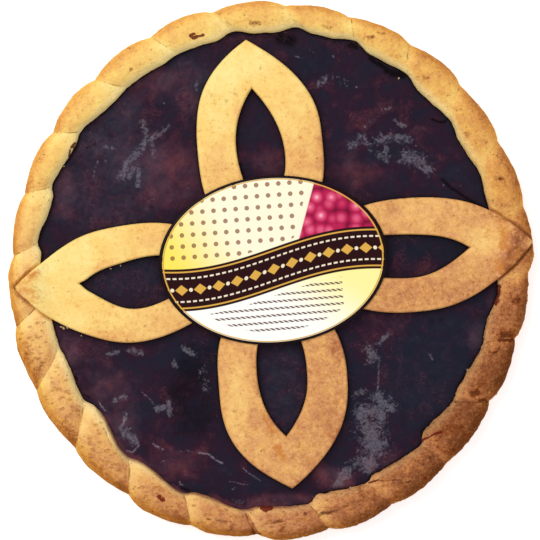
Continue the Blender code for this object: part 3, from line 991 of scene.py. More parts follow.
CRUST_CRACKS = (
    (0.8, 0.9, (206.3, 518.7), (216, 519.6), (225.9, 521.3)),
    (0.9, 0.9, (262.3, 523.8), (272, 522.6), (283, 520.8)), (0.7, 0.6, (283, 520.8), (290, 518.6)),
    (2, 1, (320.4, 513.7), (327, 512.2), (335, 511)),
    (0.8, 0.8, (335, 511), (340.9, 508.3), (344, 505.6), (351.6, 503.8), (356, 501.6), (360.5, 499)),
    (0.8, 0.8, (245.4, 511.4), (248, 520.4), (251.6, 527.5), (255.2, 534.6)),
    (0.7, 0.6, (271.8, 19.4), (276.4, 22)),
    (1, 0.9, (380, 480.4), (398, 479.6), (401.4, 483), (409.5, 481.8)),
    (0.9, 0.7, (488, 401), (453, 401)), (1, 0.8, (106, 431), (108, 438), (112, 443)),
    (1, 0.9, (488, 351.5), (492, 352.8), (496.6, 351)), (0.6, 0.6, (351, 18), (352, 29.5), (353, 38)),
    (0.6, 0.6, (409.3, 45.5), (408, 53), (406.5, 62)),
    (0.7, 0.6, (214.7, 11.2), (224.9, 19.4), (232, 29)), (0.6, 0.5, (290, 8), (290.5, 18)),
    (0.7, 0.6, (504, 180), (509, 190), (513, 198)), (0.7, 0.5, (500, 205), (508, 207), (515, 206)),
    (0.6, 0.5, (459, 88), (455, 98), (450, 110)), (0.9, 0.8, (320.4, 525.7), (331, 529.3)),
)


def middle_at(along, line):
    """How far a leaf's middle line lies sideways at a distance along its petal."""
    sideways = np.full(np.shape(along), float(line[-1][1]))
    for (start, from_side), (end, to_side) in reversed(list(zip(line, line[1:]))):
        here = from_side + (to_side - from_side) * smooth_step((along - start) / (end - start))
        sideways = np.where(along <= end, here, sideways)
    return sideways


def leaf_half_width(along, shape):
    widest_at, tip, half_width, fullness = shape
    share = np.minimum(np.abs(along - widest_at) / (tip - widest_at), 1)
    return half_width * (1 - share ** fullness)


def climb(along, petal):
    """How far a petal is lifted where it goes over the rim."""
    if not petal["climbs"]:
        return 0 * along
    lift = CLIMB_RISE * smooth_step((along - CLIMB_START) / (CLIMB_END - CLIMB_START))
    return lift - FOLD_DROP * np.maximum(0, along - FOLD_START) ** 2


def press_under_petals(points):
    """Lowers the rim to where the climbing petals lie on it."""
    for petal in PETALS:
        if not petal["climbs"]:
            continue
        plan = points[..., :2] - FLOWER_CENTRE
        along, beside = turn_plan(plan[..., 0], plan[..., 1], -math.radians(petal["bearing"]))
        beside = beside - middle_at(along, petal["middle"])
        inside = leaf_half_width(along, petal["outline"]) - np.abs(beside)
        dent = JAM_LEVEL + GAP + climb(along, petal) + PRESSED_EDGE * smooth_step(-inside / PRESSED_EDGE)
        pressed = (along > PRESSED_FROM) & (inside >= -PRESSED_EDGE) & (points[..., 2] > dent)
        points[..., 2] = np.where(pressed, dent, points[..., 2])
    return points


def within_cad(points):
    """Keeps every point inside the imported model's box."""
    low, high = np.array(cad_low), np.array(cad_high)
    return np.clip(points, low + CAD_MARGIN, high - CAD_MARGIN)


# The crust's relief: each noise's height, size, number of layers, seed and how much higher it is on
# the rough side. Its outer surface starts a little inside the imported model's.
CRUST_RELIEF = (
    (0.00036, 0.012, 2, 3, 0), (0.00022, 0.0046, 2, 7, 0.9), (0.00010, 0.0016, 2, 11, 2.4),
)
CRUST_INSET = 0.00012
# The relief starts above this level, over this height
RELIEF_FROM = (0.0004, 0.002)
PIT_DEPTH = 0.0005
CRACK_DEPTH = 0.0008
CRUST_RAGGED = 0.00045
SCORCH_RAGGED = 0.0008

# Sides of the crust in the picture, as for side_toward
ROUGH_SIDE = (318, 0.45, 0.4)
BROWNER_SIDE = (315, -0.1, 0.7)
RUDDY_SIDE = (222, 0.3, 0.5)
SOFT_SIDE = (247, 0.80, 0.14)
DIMPLED_SIDE = (240, 0.5, 0.35)
SMOOTH_TOWARD = 60
BROWNER_EDGE_TOWARD = 130

# How brown the crust is: its mean, how much it changes round the rim, the bearing in the picture
# where it is brownest, and how much browner it is near the bearing that caught the most heat
BAKED_MEAN = 0.535
BAKED_TURNS = 0.17042
BAKED_TOWARD = 310.962
CAUGHT = 0.22
CAUGHT_TOWARD = 325
CAUGHT_WITHIN = 35
# Beside a crease the strands are darker before it and paler after it: painted shade where a
# strand's end faces away from the lamp, painted light where the next one starts facing it, and a
# little browning. Both are strongest near this bearing: how wide both are, how wide the line in the
# crease is, and the widths of two more tints, painted shade outside a strand's end and the paler
# crease on the smooth side
CREASE_SHADE_TOWARD = 225
SHADE_BEFORE_CREASE = 0.0050
LIGHT_AFTER_CREASE = 0.0065
CREASE_LINE = 0.0008
SHADE_OUTSIDE_CREASE = 0.009
PALE_SMOOTH = 0.003
# Painted shade in a crease: half the width of its dark line, and the size of the gaps in it
CREASE_SHADE_WIDTH = 0.00055
CREASE_SHADE_GAPS = 0.006
CRACK_GAPS = 0.0028
SMEAR_ACROSS = 0.10
# The flank's own tint starts below this level and is full this much lower
FLANK_FROM = (0.012, 0.005)

# The underside's waves: height, size, layers and seed
UNDERSIDE_RELIEF = ((0.00018, 0.006, 3, 21),)


def crust_relief(points, bearing, rough, sunk):
    """The rim's points with its unevenness and with what is sunk into it."""
    radius, level = RIM_MIDDLE
    outward = grid_normals(points)
    off_middle = points - at_bearing(bearing, radius, level)
    outward *= np.sign(np.sum(outward * off_middle, axis=-1, keepdims=True).mean())
    height = -sunk - CRUST_INSET
    for *layer, rougher in CRUST_RELIEF:
        height = height + relief(points, (layer,)) * (1 + rougher * rough)
    start, over = RELIEF_FROM
    lying = outward * height[..., None] * smooth_step((points[..., 2:] - start) / over)
    return within_cad(press_under_petals(points + lying))


def crust_tone(points, turned, across, ridge, outside, from_crease, to_crease):
    """How brown the rim is at each point."""
    caught = bell((turned - CAUGHT_TOWARD + 180) % 360 - 180, CAUGHT_WITHIN)
    tone = BAKED_MEAN + BAKED_TURNS * wave(turned, BAKED_TOWARD) + CAUGHT * caught + 0.10 * (ridge - 0.6)
    tone += (0.16 - 0.02 * caught + 0.03 * facing(turned, BROWNER_EDGE_TOWARD)) * outside
    before, after = (
        bell(distance, width) - 0.5 * bell(distance, CREASE_LINE)
        for distance, width in ((to_crease, SHADE_BEFORE_CREASE), (from_crease, LIGHT_AFTER_CREASE))
    )
    # Painted shade on a strand's end that faces away from the lamp, painted light on the next strand's
    # start, with a little browning
    away = 0.5 + 0.5 * wave(turned, CREASE_SHADE_TOWARD)
    shade_and_browning = 0.12 * before * smooth_step((across + 0.1) / 0.4) * (0.15 + 0.85 * away)
    shade_and_browning += 0.07 * away * outside * bell(to_crease, SHADE_OUTSIDE_CREASE)
    tone += shade_and_browning * (1 - 0.75 * caught) - 0.11 * after * (0.35 + 0.65 * away)
    near_crease = np.minimum(from_crease, to_crease)
    tone -= 0.08 * facing(turned, SMOOTH_TOWARD) * bell(near_crease, PALE_SMOOTH)
    start, over = FLANK_FROM
    return tone + (0.04 - 0.26 * caught) * outside * smooth_step((start - points[..., 2]) / over)


def crust_base(edge, first):
    """The underside inside the rim's last row, whose first point has this number: its points and
    its faces."""
    count = len(edge)
    coarse = edge[::BASE_COLUMNS_SHARE]
    wide = len(coarse)
    shares = 1 - np.arange(1, BASE_RINGS + 1) / (BASE_RINGS + 1)
    points = coarse[None] * shares[:, None, None]
    flat = smooth_step((1 - shares) / 0.1)[:, None]
    points[..., 2] = np.abs(relief(points + 0.5, UNDERSIDE_RELIEF)) * flat
    steps = np.arange(wide)[:, None] * BASE_COLUMNS_SHARE + np.arange(BASE_COLUMNS_SHARE + 1)
    ring = first + count + np.arange(wide)
    faces = np.column_stack((first + steps % count, np.roll(ring, -1), ring)).tolist()
    faces += grid_faces(BASE_RINGS, wide, first + count).tolist()
    faces.append((ring + (BASE_RINGS - 1) * wide).tolist())
    return points.reshape(-1, 3), faces


def make_crust(dough):
    columns, section = strand_columns(), rim_section()
    plain, bearing, full = rim_points(columns, section)
    across = np.minimum(section[0], 1)[:, None]
    top = section[1][:, None] > JAM_LEVEL
    strand, along = columns[0][None], columns[1][None]
    length = np.radians((np.roll(STRANDS[:, 0], -1) - STRANDS[:, 0]) % 360)[strand] * RIM_MIDDLE[0]
    from_crease, to_crease = along * length, (1 - along) * length
    turned = (bearing + PICTURE_TURN) % 360
    rough = side_toward(turned, *ROUGH_SIDE)
    places = seen_places(plain, CRUST_RAGGED)
    pits = marks_at(places, CRUST_PITS) * top
    cracks = marks_at(places, CRUST_CRACKS) * top * (0.9 + 0.7 * noise(plain, CRACK_GAPS, 77))
    sunk = PIT_DEPTH * smooth_step(pits) + CRACK_DEPTH * smooth_step(cracks)
    points = crust_relief(plain, bearing, rough, sunk)

    ridge = smooth_step(full / 0.9) * smooth_step(across / 0.45)
    outside = smooth_step((across - 0.55) / 0.4)
    inside = smooth_step((0.26 - across) / 0.24)
    ruddy = side_toward(turned, *RUDDY_SIDE)
    # Painted shade along the middle of each crease, broken into patches
    patchy = 0.35 + 0.65 * smooth_step(0.5 + 1.6 * noise(plain, CREASE_SHADE_GAPS, 61))
    crease = bell(np.minimum(from_crease, to_crease), CREASE_SHADE_WIDTH) * smooth_step(across / 0.12) * patchy
    pink = 0.42 * rough * (1 - 0.8 * outside) + 0.5 * ruddy * (1 - outside)
    masks = {
        "baked": crust_tone(points, turned, across, ridge, outside, from_crease, to_crease),
        "rough": rough,
        "crease": crease * (1 - 0.7 * facing(turned, SMOOTH_TOWARD)) * top,
        "pit": np.maximum(pits, cracks),
        # paler dough inside, with painted light on the shaded inner flank
        "cream_and_light": inside * (0.8 - 0.65 * side_toward(turned, *BROWNER_SIDE)),
        "scorch": marks_at(seen_places(points, SCORCH_RAGGED), CRUST_SCORCHES) * top,
        "stain": marks_at(places, CRUST_STAINS) * top,
        "smear": side_toward(turned, *SOFT_SIDE) * (1 - across / SMEAR_ACROSS) * top,
        "pitted": side_toward(turned, *DIMPLED_SIDE) * ridge,
        "pink": pink - (0.25 * ruddy + 0.14) * outside,
    }
    rows, count = points.shape[:2]
    base, base_faces = crust_base(points[-1], (rows - 1) * count)
    faces = grid_faces(rows, count).tolist() + [list(range(count))[::-1]] + base_faces
    everything = np.concatenate((points.reshape(-1, 3), base))
    masks = filled_up(masks, len(base))
    make_piece("crust_baked", everything, faces, crust_material(dough), masks, "crust")


# Flower

# Marks on the flower, given like those on the crust. Folds are sunk a little and darker than
# scorches, their dark color painted shade in the fold.
FLOWER_PITS = (
    (1.2, 0.7, (235, 93)), (0.9, 0.6, (260.6, 66.5), (260.2, 69)), (0.9, 0.6, (281, 102)),
    (0.9, 0.6, (289, 111)), (0.8, 0.8, (314, 158), (318, 157.5)), (1.3, 1, (13.8, 287), (14.2, 289)),
    (1, 0.5, (225, 424)), (1.2, 0.7, (463, 222)), (1.3, 0.6, (482, 262)), (1, 0.6, (454, 278)),
    (1.2, 0.7, (463.7, 293.8)), (1, 0.5, (456.8, 295.3)), (1.1, 0.6, (430.4, 286.9)),
    (1.3, 0.9, (260.5, 450.7)), (1, 0.6, (252.5, 444)), (1, 0.6, (306, 454)), (1, 0.6, (293.6, 464.1)),
    (1, 0.5, (324, 385)), (1, 0.5, (230, 415)),
)
FLOWER_SCORCHES = (
    (2.6, 0.8, (300, 137)), (1.5, 0.5, (260.4, 67)), (3.6, 1, (277, 447), (280, 454), (284, 458)),
    (2.4, 0.8, (262, 412), (268, 424), (273, 432)), (2, 0.5, (300, 426), (297, 432)),
    (3, 0.4, (336, 432)), (3.4, 0.9, (30, 276), (36, 272)), (7, 0.6, (20, 284), (30, 290), (36, 296)),
    (5, 0.5, (497, 212), (502, 222)), (3.5, 0.45, (487, 225), (489, 238)),
    (5, 0.7, (498, 262), (502, 270)), (4.5, 0.9, (503, 229), (504, 246)), (2, 0.5, (463.7, 293.8)),
    (5, 0.5, (512, 264), (518, 252)), (2, 0.6, (235, 94)), (3, 0.4, (334, 250)),
    (1.4, 0.6, (228, 92), (236, 91)), (1.2, 0.4, (310, 110)), (3, 0.35, (340, 395), (338, 415)),
)
FLOWER_SHADED_FOLDS = (
    (1.5, 1, (13.8, 286), (14, 290)), (1.3, 0.8, (15, 291), (21, 296.5), (28.5, 303)),
    (1.3, 0.7, (490, 214), (498, 217), (507, 220), (515, 223.5)), (1.2, 0.5, (484, 207), (494, 208)),
    (1.4, 0.8, (510, 251), (515, 247), (520, 246.5), (522.5, 252)),
    (2.6, 1, (505.5, 268.5), (510, 265.5)), (1.3, 0.9, (517, 260), (522, 254), (527, 249), (532, 244)),
    (1.2, 0.6, (498, 226), (503, 232)), (1.3, 0.6, (519, 228), (523, 236), (521, 243)),
)
# Parts of the flower that are browner or paler than the rest: the middle by pixel, the half length
# and half width in pixels, how far the patch is turned and how much browner it is
FLOWER_TINTS = (
    ((486, 240), 24, 20, 0, -0.13), ((430, 290), 44, 12, 4, 0.06), ((238, 398), 12, 40, -6, -0.09),
    ((336, 350), 9, 12, 0, 0.1), ((324, 412), 12, 26, 0, 0.05), ((338, 437), 7, 10, 0, 0.14),
    ((272, 428), 7, 12, 0, 0.1), ((322, 150), 8, 26, 0, 0.12), ((292, 150), 10, 20, 0, 0.04),
    ((216, 162), 14, 18, 0, 0.08), ((120, 338), 44, 7, -8, 0.1), ((176, 330), 12, 10, 0, 0.08),
    ((102, 266), 16, 5, 20, 0.14), ((238, 116), 5, 22, 8, 0.14), ((418, 282), 14, 5, 0, 0.06),
    ((22, 294), 13, 11, 0, 0.24), ((32, 276), 8, 6, 0, 0.16), ((514, 262), 13, 26, 0, 0.2),
    ((518, 232), 12, 10, 0, 0.16), ((498, 284), 10, 8, 0, 0.1), ((256, 372), 6, 18, 0, 0.05),
    ((390, 206), 14, 12, 0, 0.05), ((446, 264), 10, 5, 0, 0.05), ((150, 240), 10, 8, 0, 0.05),
)


def petal_pairs(petal):
    """Pairs of points on the hole's edge and on the outer edge, along and beside the petal, from
    the flower's centre up one side to the tip and back down the other, and how far round each is."""
    place = np.concatenate((
        np.linspace(0, NOTCH_STEPS, NOTCH_FINE, endpoint=False),
        np.linspace(NOTCH_STEPS, PETAL_STEPS, PETAL_FINE + 1),
    ))
    share = (1 - np.cos(np.pi * place / PETAL_STEPS)) / 2
    hole, outline = petal["hole"], petal["outline"]
    hole_start = 2 * hole[0] - hole[1]
    inner_along = hole_start + (hole[1] - hole_start) * share
    inner_beside = leaf_half_width(inner_along, hole)
    turn = np.pi / 2 * np.maximum(place - NOTCH_STEPS, 0) / (PETAL_STEPS - NOTCH_STEPS)
    outer_along = np.where(
        place < NOTCH_STEPS, NOTCH * place / NOTCH_STEPS, NOTCH + (outline[1] - NOTCH) * np.sin(turn)
    )
    outer_beside = np.where(place < NOTCH_STEPS, outer_along, leaf_half_width(outer_along, outline))
    half = np.stack((inner_along, inner_beside, outer_along, outer_beside, place), axis=-1)
    back = half[-2:0:-1] * np.array((1, -1, 1, -1, 1))
    pairs = np.concatenate((half, back))
    pairs[:, 1] += middle_at(pairs[:, 0], petal["hole_middle"])
    pairs[:, 3] += middle_at(pairs[:, 2], petal["middle"])
    return pairs


def round_drop(distance):
    """How far a rounded edge has fallen at a distance in from the edge."""
    inwards = np.clip(EDGE_ROUNDING - distance, 0, EDGE_ROUNDING)
    return EDGE_ROUNDING - np.sqrt(EDGE_ROUNDING ** 2 - inwards ** 2)


# The strips' columns are spread evenly by this share, the rest of them crowd at the edges
STRIP_EVENNESS = 0.55
# The rounding of the outer edge fades out over this many steps before the notch
OPENS_OVER = 0.4


def flower_tops(petal):
    """A petal's strips: their places in plan, the level of the top and of the underside, and how
    far round the petal each one is."""
    pairs = petal_pairs(petal)
    even = np.arange(STRIP_FINE + 1) / STRIP_FINE
    share = (1 - STRIP_EVENNESS) * (1 - np.cos(np.pi * even)) / 2 + STRIP_EVENNESS * even
    inner, outer, place = pairs[:, None, 0:2], pairs[:, None, 2:4], pairs[:, 4]
    spot = inner + (outer - inner) * share[None, :, None]
    along, beside = spot[..., 0], spot[..., 1]
    width = np.linalg.norm(pairs[:, 2:4] - pairs[:, 0:2], axis=-1)[:, None]
    open_side = smooth_step((place - NOTCH_STEPS + OPENS_OVER) / OPENS_OVER)[:, None]
    drop = round_drop(share[None] * width) + round_drop((1 - share[None]) * width) * open_side
    thinner = TIP_THINNER * smooth_step((along - CLIMB_END) / TIP_THINS_OVER)
    crown = FLOWER_CROWN * np.sin(np.pi * share)[None]
    under = JAM_LEVEL + GAP + climb(along, petal)
    over = under + FLOWER_THICKNESS + crown - thinner - drop
    plan = np.stack(turn_plan(along, beside, math.radians(petal["bearing"])), axis=-1) + FLOWER_CENTRE
    return plan, over, under, place


# The flower's relief: height, size, layers and seed of its noises, and of one more near the tips,
# which begins at this distance from the middle and is full after some more
FLOWER_RELIEF = ((0.00020, 0.013, 2, 31), (0.00008, 0.0036, 3, 35))
TIP_RELIEF = ((0.00030, 0.0048, 2, 38),)
TIP_FROM = (0.100, 0.012)
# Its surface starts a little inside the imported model's, and more so near the tips
FLOWER_INSET = (0.00010, 0.00012)
FLOWER_PIT_DEPTH = 0.0004
FOLD_SHARE = 0.6
# Where the walls have points, as shares of their height, and every how many columns the underside has
WALL_SHARES = (0.35, 0.7, 1)
UNDER_STEP = 4
FLOWER_RAGGED = (0.0003, 0.0005)
# How brown the flower is: its mean, how much browner per decimetre toward a bearing of the picture,
# near the middle (from one distance, over another) and on its sides and underside (below one depth,
# over another), where it is browning with painted shade on the walls
FLOWER_BAKED = 0.44
BROWNER_TOWARD = -40
BROWNER_OUT = 0.27
BROWNER_MIDDLE = 0.10
MIDDLE_FROM = (0.085, 0.05)
BROWNER_SHADED_SIDES = 0.16
SIDES_FROM = (0.0012, 0.003)


def petal_rings(petal):
    """Closed rows of points, each over the petal's top, down its outer edge, back under it and up
    its hole's edge, and the quads between them but for the walls where two petals join."""
    plan, over, under, place = flower_tops(petal)
    top = np.concatenate((plan, over[..., None]), axis=-1)
    low = np.concatenate((plan, under[..., None] - GAP), axis=-1)
    flat = top * (1, 1, 0)
    tip = smooth_step((np.hypot(plan[..., 0], plan[..., 1]) - TIP_FROM[0]) / TIP_FROM[1])
    places = seen_places(top, FLOWER_RAGGED[0])
    sunk = smooth_step(marks_at(places, FLOWER_PITS))
    sunk += FOLD_SHARE * smooth_step(marks_at(places, FLOWER_SHADED_FOLDS))
    top[..., 2] += relief(flat, FLOWER_RELIEF) + tip * relief(flat, TIP_RELIEF)
    top[..., 2] -= FLOWER_INSET[0] + FLOWER_INSET[1] * tip + FLOWER_PIT_DEPTH * sunk

    def wall(end, shares):
        return np.stack([top[:, end] + (low[:, end] - top[:, end]) * share for share in shares], axis=1)

    ring = np.concatenate((
        top, wall(STRIP_FINE, WALL_SHARES), low[:, STRIP_FINE - UNDER_STEP:UNDER_STEP - 1:-UNDER_STEP],
        wall(0, WALL_SHARES[::-1]),
    ), axis=1)
    count, wide = ring.shape[:2]
    quads = grid_faces(count, wide, closed_rows=True).reshape(count, wide, 4)
    joined = place < NOTCH_STEPS
    inner_wall = np.zeros((count, wide), bool)
    inner_wall[:, STRIP_FINE:STRIP_FINE + len(WALL_SHARES)] = (joined | np.roll(joined, -1))[:, None]
    return ring, quads[~inner_wall]


def make_flower(dough):
    points, faces, parts = [], [], []
    first = 0
    for petal in PETALS:
        ring, quads = petal_rings(petal)
        faces.append(quads + first)
        points.append(ring.reshape(-1, 3))
        first += len(points[-1])
        toward = math.radians(BROWNER_TOWARD - PICTURE_TURN)
        right, up = ring[..., 0], ring[..., 1]
        tone = FLOWER_BAKED + BROWNER_OUT * turn_plan(right, up, -toward)[0] / 0.1
        tone += BROWNER_MIDDLE * smooth_step((MIDDLE_FROM[0] - np.hypot(right, up)) / MIDDLE_FROM[1])
        below = ring[:, :1, 2] - ring[..., 2]
        # Browner walls and underside: browning, with painted shade on the walls
        tone += BROWNER_SHADED_SIDES * smooth_step((below - SIDES_FROM[0]) / SIDES_FROM[1])
        places = seen_places(ring, FLOWER_RAGGED[1])
        parts.append([tone + tinted(ring, FLOWER_TINTS, 4)] + [
            marks_at(places, marks) for marks in (FLOWER_PITS, FLOWER_SCORCHES, FLOWER_SHADED_FOLDS)
        ])
    masks = {
        title: np.concatenate([part[number].ravel() for part in parts])
        for number, title in enumerate(("baked", "pit", "scorch", "fold_shade"))
    }
    everything = within_cad(np.concatenate(points))
    faces = np.concatenate(faces).tolist()
    material = flower_material(dough)
    make_piece("flower_baked", everything, faces, material, masks, "pastry_flower", merge=0.00001)


def flower_edge_tree():
    """All the flower's edges in plan, to measure how near a point is to them."""
    edges = []
    for petal in PETALS:
        plan, _, _, place = flower_tops(petal)
        edges += [plan[:, 0], plan[place >= NOTCH_STEPS, -1]]
    edges = np.concatenate(edges)
    tree = kdtree.KDTree(len(edges))
    for index, spot in enumerate(edges):
        tree.insert((spot[0], spot[1], 0), index)
    tree.balance()
    return tree


# Jam

# Grey patches on the jam, rougher there, with their grey painted as sheen of the wrapping film:
# half the width in pixels, the strength and the pixels that each one runs through. Streaks are
# narrow and lighter, painted highlights; dark spots are painted shadow, most where jam meets dough.
DULL_SHEEN_SPOTS = (
    (4.5, 0.65, (352, 146), (362, 136), (368, 144)), (5, 0.7, (376, 140), (390, 136), (408, 139)),
    (4, 0.6, (372, 150), (386, 158)), (3, 0.7, (385, 146), (386, 160)),
    (7, 0.72, (404, 157), (418, 160), (427, 168)), (2, 0.7, (370, 122)),
    (1.5, 0.7, (390, 107), (382, 110)), (1.8, 0.8, (394, 120), (404, 126)), (2, 0.6, (364, 126)),
    (3, 0.7, (325, 77), (318, 84)), (6, 0.8, (368, 349), (372, 356)), (3, 0.8, (388, 333), (379, 343)),
    (6, 0.8, (376, 396), (390, 408)), (8, 0.9, (362, 412), (380, 414)), (14, 0.8, (370, 428), (374, 446)),
    (9, 0.75, (362, 462), (372, 468)), (6, 0.8, (338, 484), (347, 470)), (4, 0.5, (352, 395), (362, 390)),
    (3, 0.75, (142.5, 121), (146, 135), (142, 148)), (2.4, 0.75, (148, 140), (160, 133), (168, 126)),
    (2, 0.6, (152.5, 145), (152.5, 156)), (3.4, 0.75, (138, 152), (127, 162), (119, 178)),
    (6, 0.6, (124, 174), (133, 170)), (2.5, 0.8, (137.5, 170), (138, 184)),
    (1.8, 0.7, (105, 146), (115, 148)), (1.5, 0.6, (97, 160), (92.5, 177)), (1.8, 0.7, (105, 160)),
    (2, 0.6, (162.5, 102.5)), (2.5, 0.6, (197, 82), (195, 90)), (1.6, 0.6, (125, 104)),
    (2.2, 0.72, (107, 354), (118, 352)), (2.8, 0.75, (129, 350), (141, 353)),
    (3.2, 0.78, (184, 348), (194, 354)), (2.2, 0.75, (173, 362), (176, 366)),
    (2.8, 0.7, (114, 399), (124, 396)), (3.4, 1, (157, 408), (163, 407)),
    (2.2, 0.9, (168, 401), (169, 414)), (4, 0.5, (201, 370), (206, 388)),
    (2.2, 0.8, (126, 414), (120, 428), (124, 438)), (5, 0.8, (126, 432), (134, 441)),
    (3, 0.4, (225, 502), (262, 501)), (6, 0.35, (332, 76), (345, 84)),
)
JAM_HIGHLIGHT_STREAKS = (
    (1, 0.7, (379, 357), (378, 373), (377.5, 390)), (0.9, 0.8, (98, 401), (105, 411)),
    (1, 0.6, (127, 413), (122.8, 423.6)), (1, 0.9, (127, 450.5), (133, 451.5), (137, 447), (138.5, 444)),
    (1, 0.7, (152.7, 443.5), (157, 446), (162.5, 448.6)),
    (1.1, 0.5, (180, 451), (188, 450.5), (193.8, 453.5)),
    (1, 0.9, (197.3, 452.2), (207, 453), (216, 460), (222, 463)),
    (0.9, 0.6, (141, 391), (149, 398), (153, 404)), (1, 0.5, (166, 458.4), (161.6, 461.5)),
    (1.3, 0.6, (179, 481), (182, 485)), (0.8, 0.7, (243, 468), (252, 475), (260, 480)),
    (0.9, 0.6, (229.5, 481), (247, 484)), (0.9, 0.6, (232, 489), (235, 487)),
    (1, 0.5, (309.6, 496.7), (313, 496.7)), (1, 0.6, (274, 499)), (1, 0.8, (454.9, 330.9)),
    (1.2, 0.6, (410.7, 111.8)), (1, 0.7, (415.2, 144.8)), (1.2, 0.7, (442.9, 185)),
    (1.2, 0.6, (461.2, 185)), (1.6, 0.7, (332.9, 56.2)), (1.3, 0.6, (355.8, 86)),
    (0.8, 0.6, (295, 56), (302, 58)), (0.8, 0.5, (309, 49), (314, 52)), (1, 0.5, (186, 63.3)),
    (1, 0.5, (204.5, 51)), (1, 0.6, (152, 160)), (1, 0.6, (108, 150)), (0.9, 0.5, (90, 210)),
    (0.7, 0.6, (362, 365), (373, 362)), (1.2, 0.6, (204, 402)), (1, 0.6, (209, 424)),
    (1, 0.6, (216, 415)), (1, 0.6, (428, 353), (432, 359)),
)
JAM_SHADOW_SPOTS = (
    (5, 1.2, (280, 37.5), (290, 40)), (2.6, 1.2, (350, 45), (356, 46)), (1.8, 1.1, (369, 57), (378, 64)),
    (2.6, 1.2, (386, 70), (392, 73), (403, 75)), (2, 1.1, (378, 63), (388, 70)),
    (1, 1.1, (448, 117), (444, 121.5), (439, 122), (431, 118.5)),
    (1.3, 1.1, (442, 179), (450, 187), (460, 193.5), (470, 200), (484, 208)),
    (1.4, 1, (480, 176), (482, 184)), (2.5, 0.5, (150, 205)), (2.5, 0.5, (432, 320)),
    (3, 0.4, (440.7, 319)), (1.2, 0.7, (86, 148), (95, 143)), (1.3, 0.9, (74.5, 374), (76.5, 380)),
    (1, 0.8, (83, 393), (89, 398)), (1.6, 0.9, (181, 488), (188, 490)),
)
# Tinted patches of the jam: the middle by pixel, the half length and half width in pixels, how far
# the patch is turned, how much warmer and how much lighter it is than the rest
TINTS = (
    ((176, 176), 34, 34, 0, 0.42, 0.4), ((136, 150), 30, 28, 0, -0.05, 0.3),
    ((92, 140), 18, 14, 0, -0.3, 0.3), ((62, 195), 13, 28, 0, 0.12, 0.45),
    ((150, 84), 26, 16, 20, 0.24, 0.4), ((192, 84), 30, 30, 0, 0.06, 0.4),
    ((270, 160), 22, 14, 0, 0.45, 0.35), ((360, 172), 30, 14, 0, 0.38, 0.3),
    ((400, 110), 60, 34, 0, 0.05, -0.1), ((310, 62), 26, 20, 0, -0.1, -0.2),
    ((125, 275), 44, 22, 0, -0.25, 0.2), ((430, 243), 50, 18, 0, -0.25, -0.25),
    ((440, 368), 70, 54, 40, -0.3, 0.12), ((384, 326), 20, 12, 0, 0.22, 0.22),
    ((85, 372), 40, 36, 0, 0.08, 0.2), ((192, 404), 26, 42, 0, 0, -0.65),
    ((200, 356), 26, 18, 0, -0.3, -0.45), ((166, 466), 44, 20, 25, 0.42, 0.4),
    ((122, 436), 18, 22, 0, 0.2, 0.45), ((283, 385), 22, 50, 0, -0.25, 0.28),
    ((350, 384), 12, 50, 0, -0.22, -0.05), ((335, 480), 26, 12, -30, 0.38, 0.5),
    ((285, 501), 46, 9, 0, 0.4, 0.5), ((170, 380), 24, 20, 0, 0.05, -0.2),
    ((440, 170), 26, 40, 0, 0.04, 0.1), ((480, 334), 14, 16, 0, 0.08, 0.45),
    ((110, 190), 50, 50, 0, -0.1, 0.35), ((118, 112), 24, 18, 0, -0.15, 0.4),
    ((66, 350), 13, 18, 0, 0.16, 0.4), ((348, 150), 10, 16, 0, 0.15, 0.2),
    ((116, 400), 26, 30, 0, 0.12, 0.35), ((496, 302), 10, 16, 0, 0.15, 0.5),
    ((380, 462), 22, 14, 20, 0.12, 0.4),
)
# The jam's waves: height, size, layers and seed of each noise
JAM_RELIEF = ((0.00024, 0.016, 3, 51), (0.00011, 0.0042, 2, 57))
JAM_INSET = 0.0001
JAM_STANDS_OUT = 0.0005
JAM_INTO_RIM = 0.0006
# Pips under the skin: how many there are, within which distances of the middle, half as wide as
# this, how much longer than wide and how high they push the skin
JAM_PIPS = 420
PIPS_WITHIN = (-0.1, 0.1)
PIP_HALF = (0.00055, 0.0009)
PIP_LONGER = 1.5
PIP_HEIGHT = 0.00016
# Where the jam meets dough it is drawn up by this, over this distance, and keeps level up to there
DRAWN_UP = (0.00025, 0.0007)
LEVEL_WITHIN = 0.003
# Painted shadow along its edge at the dough: its width and how sharply it ends. The fringe on the
# soft side is wider.
SHADED_EDGE = (0.0008, 1.6)
FRINGE = 0.0022
DULL_SHEEN_FROM = 0.002


def jam_edge_radius(bearing):
    """The jam's outer radius: just into the rim's inner wall."""
    wall, turned, _ = rim_points(strand_columns(), rim_section()[:, 1:2])
    bearings = turned[0] % 360
    order = np.argsort(bearings)
    radii = np.hypot(wall[0, :, 0], wall[0, :, 1])
    return np.interp(bearing % 360, bearings[order], radii[order], period=360)


def scattered_pips():
    chance = random.Random(5)
    pips = []
    for _ in range(JAM_PIPS):
        spot = np.array((chance.uniform(*PIPS_WITHIN), chance.uniform(*PIPS_WITHIN)))
        size = chance.uniform(*PIP_HALF)
        pips.append((spot, chance.uniform(0, math.pi), PIP_LONGER * size, size))
    return pips


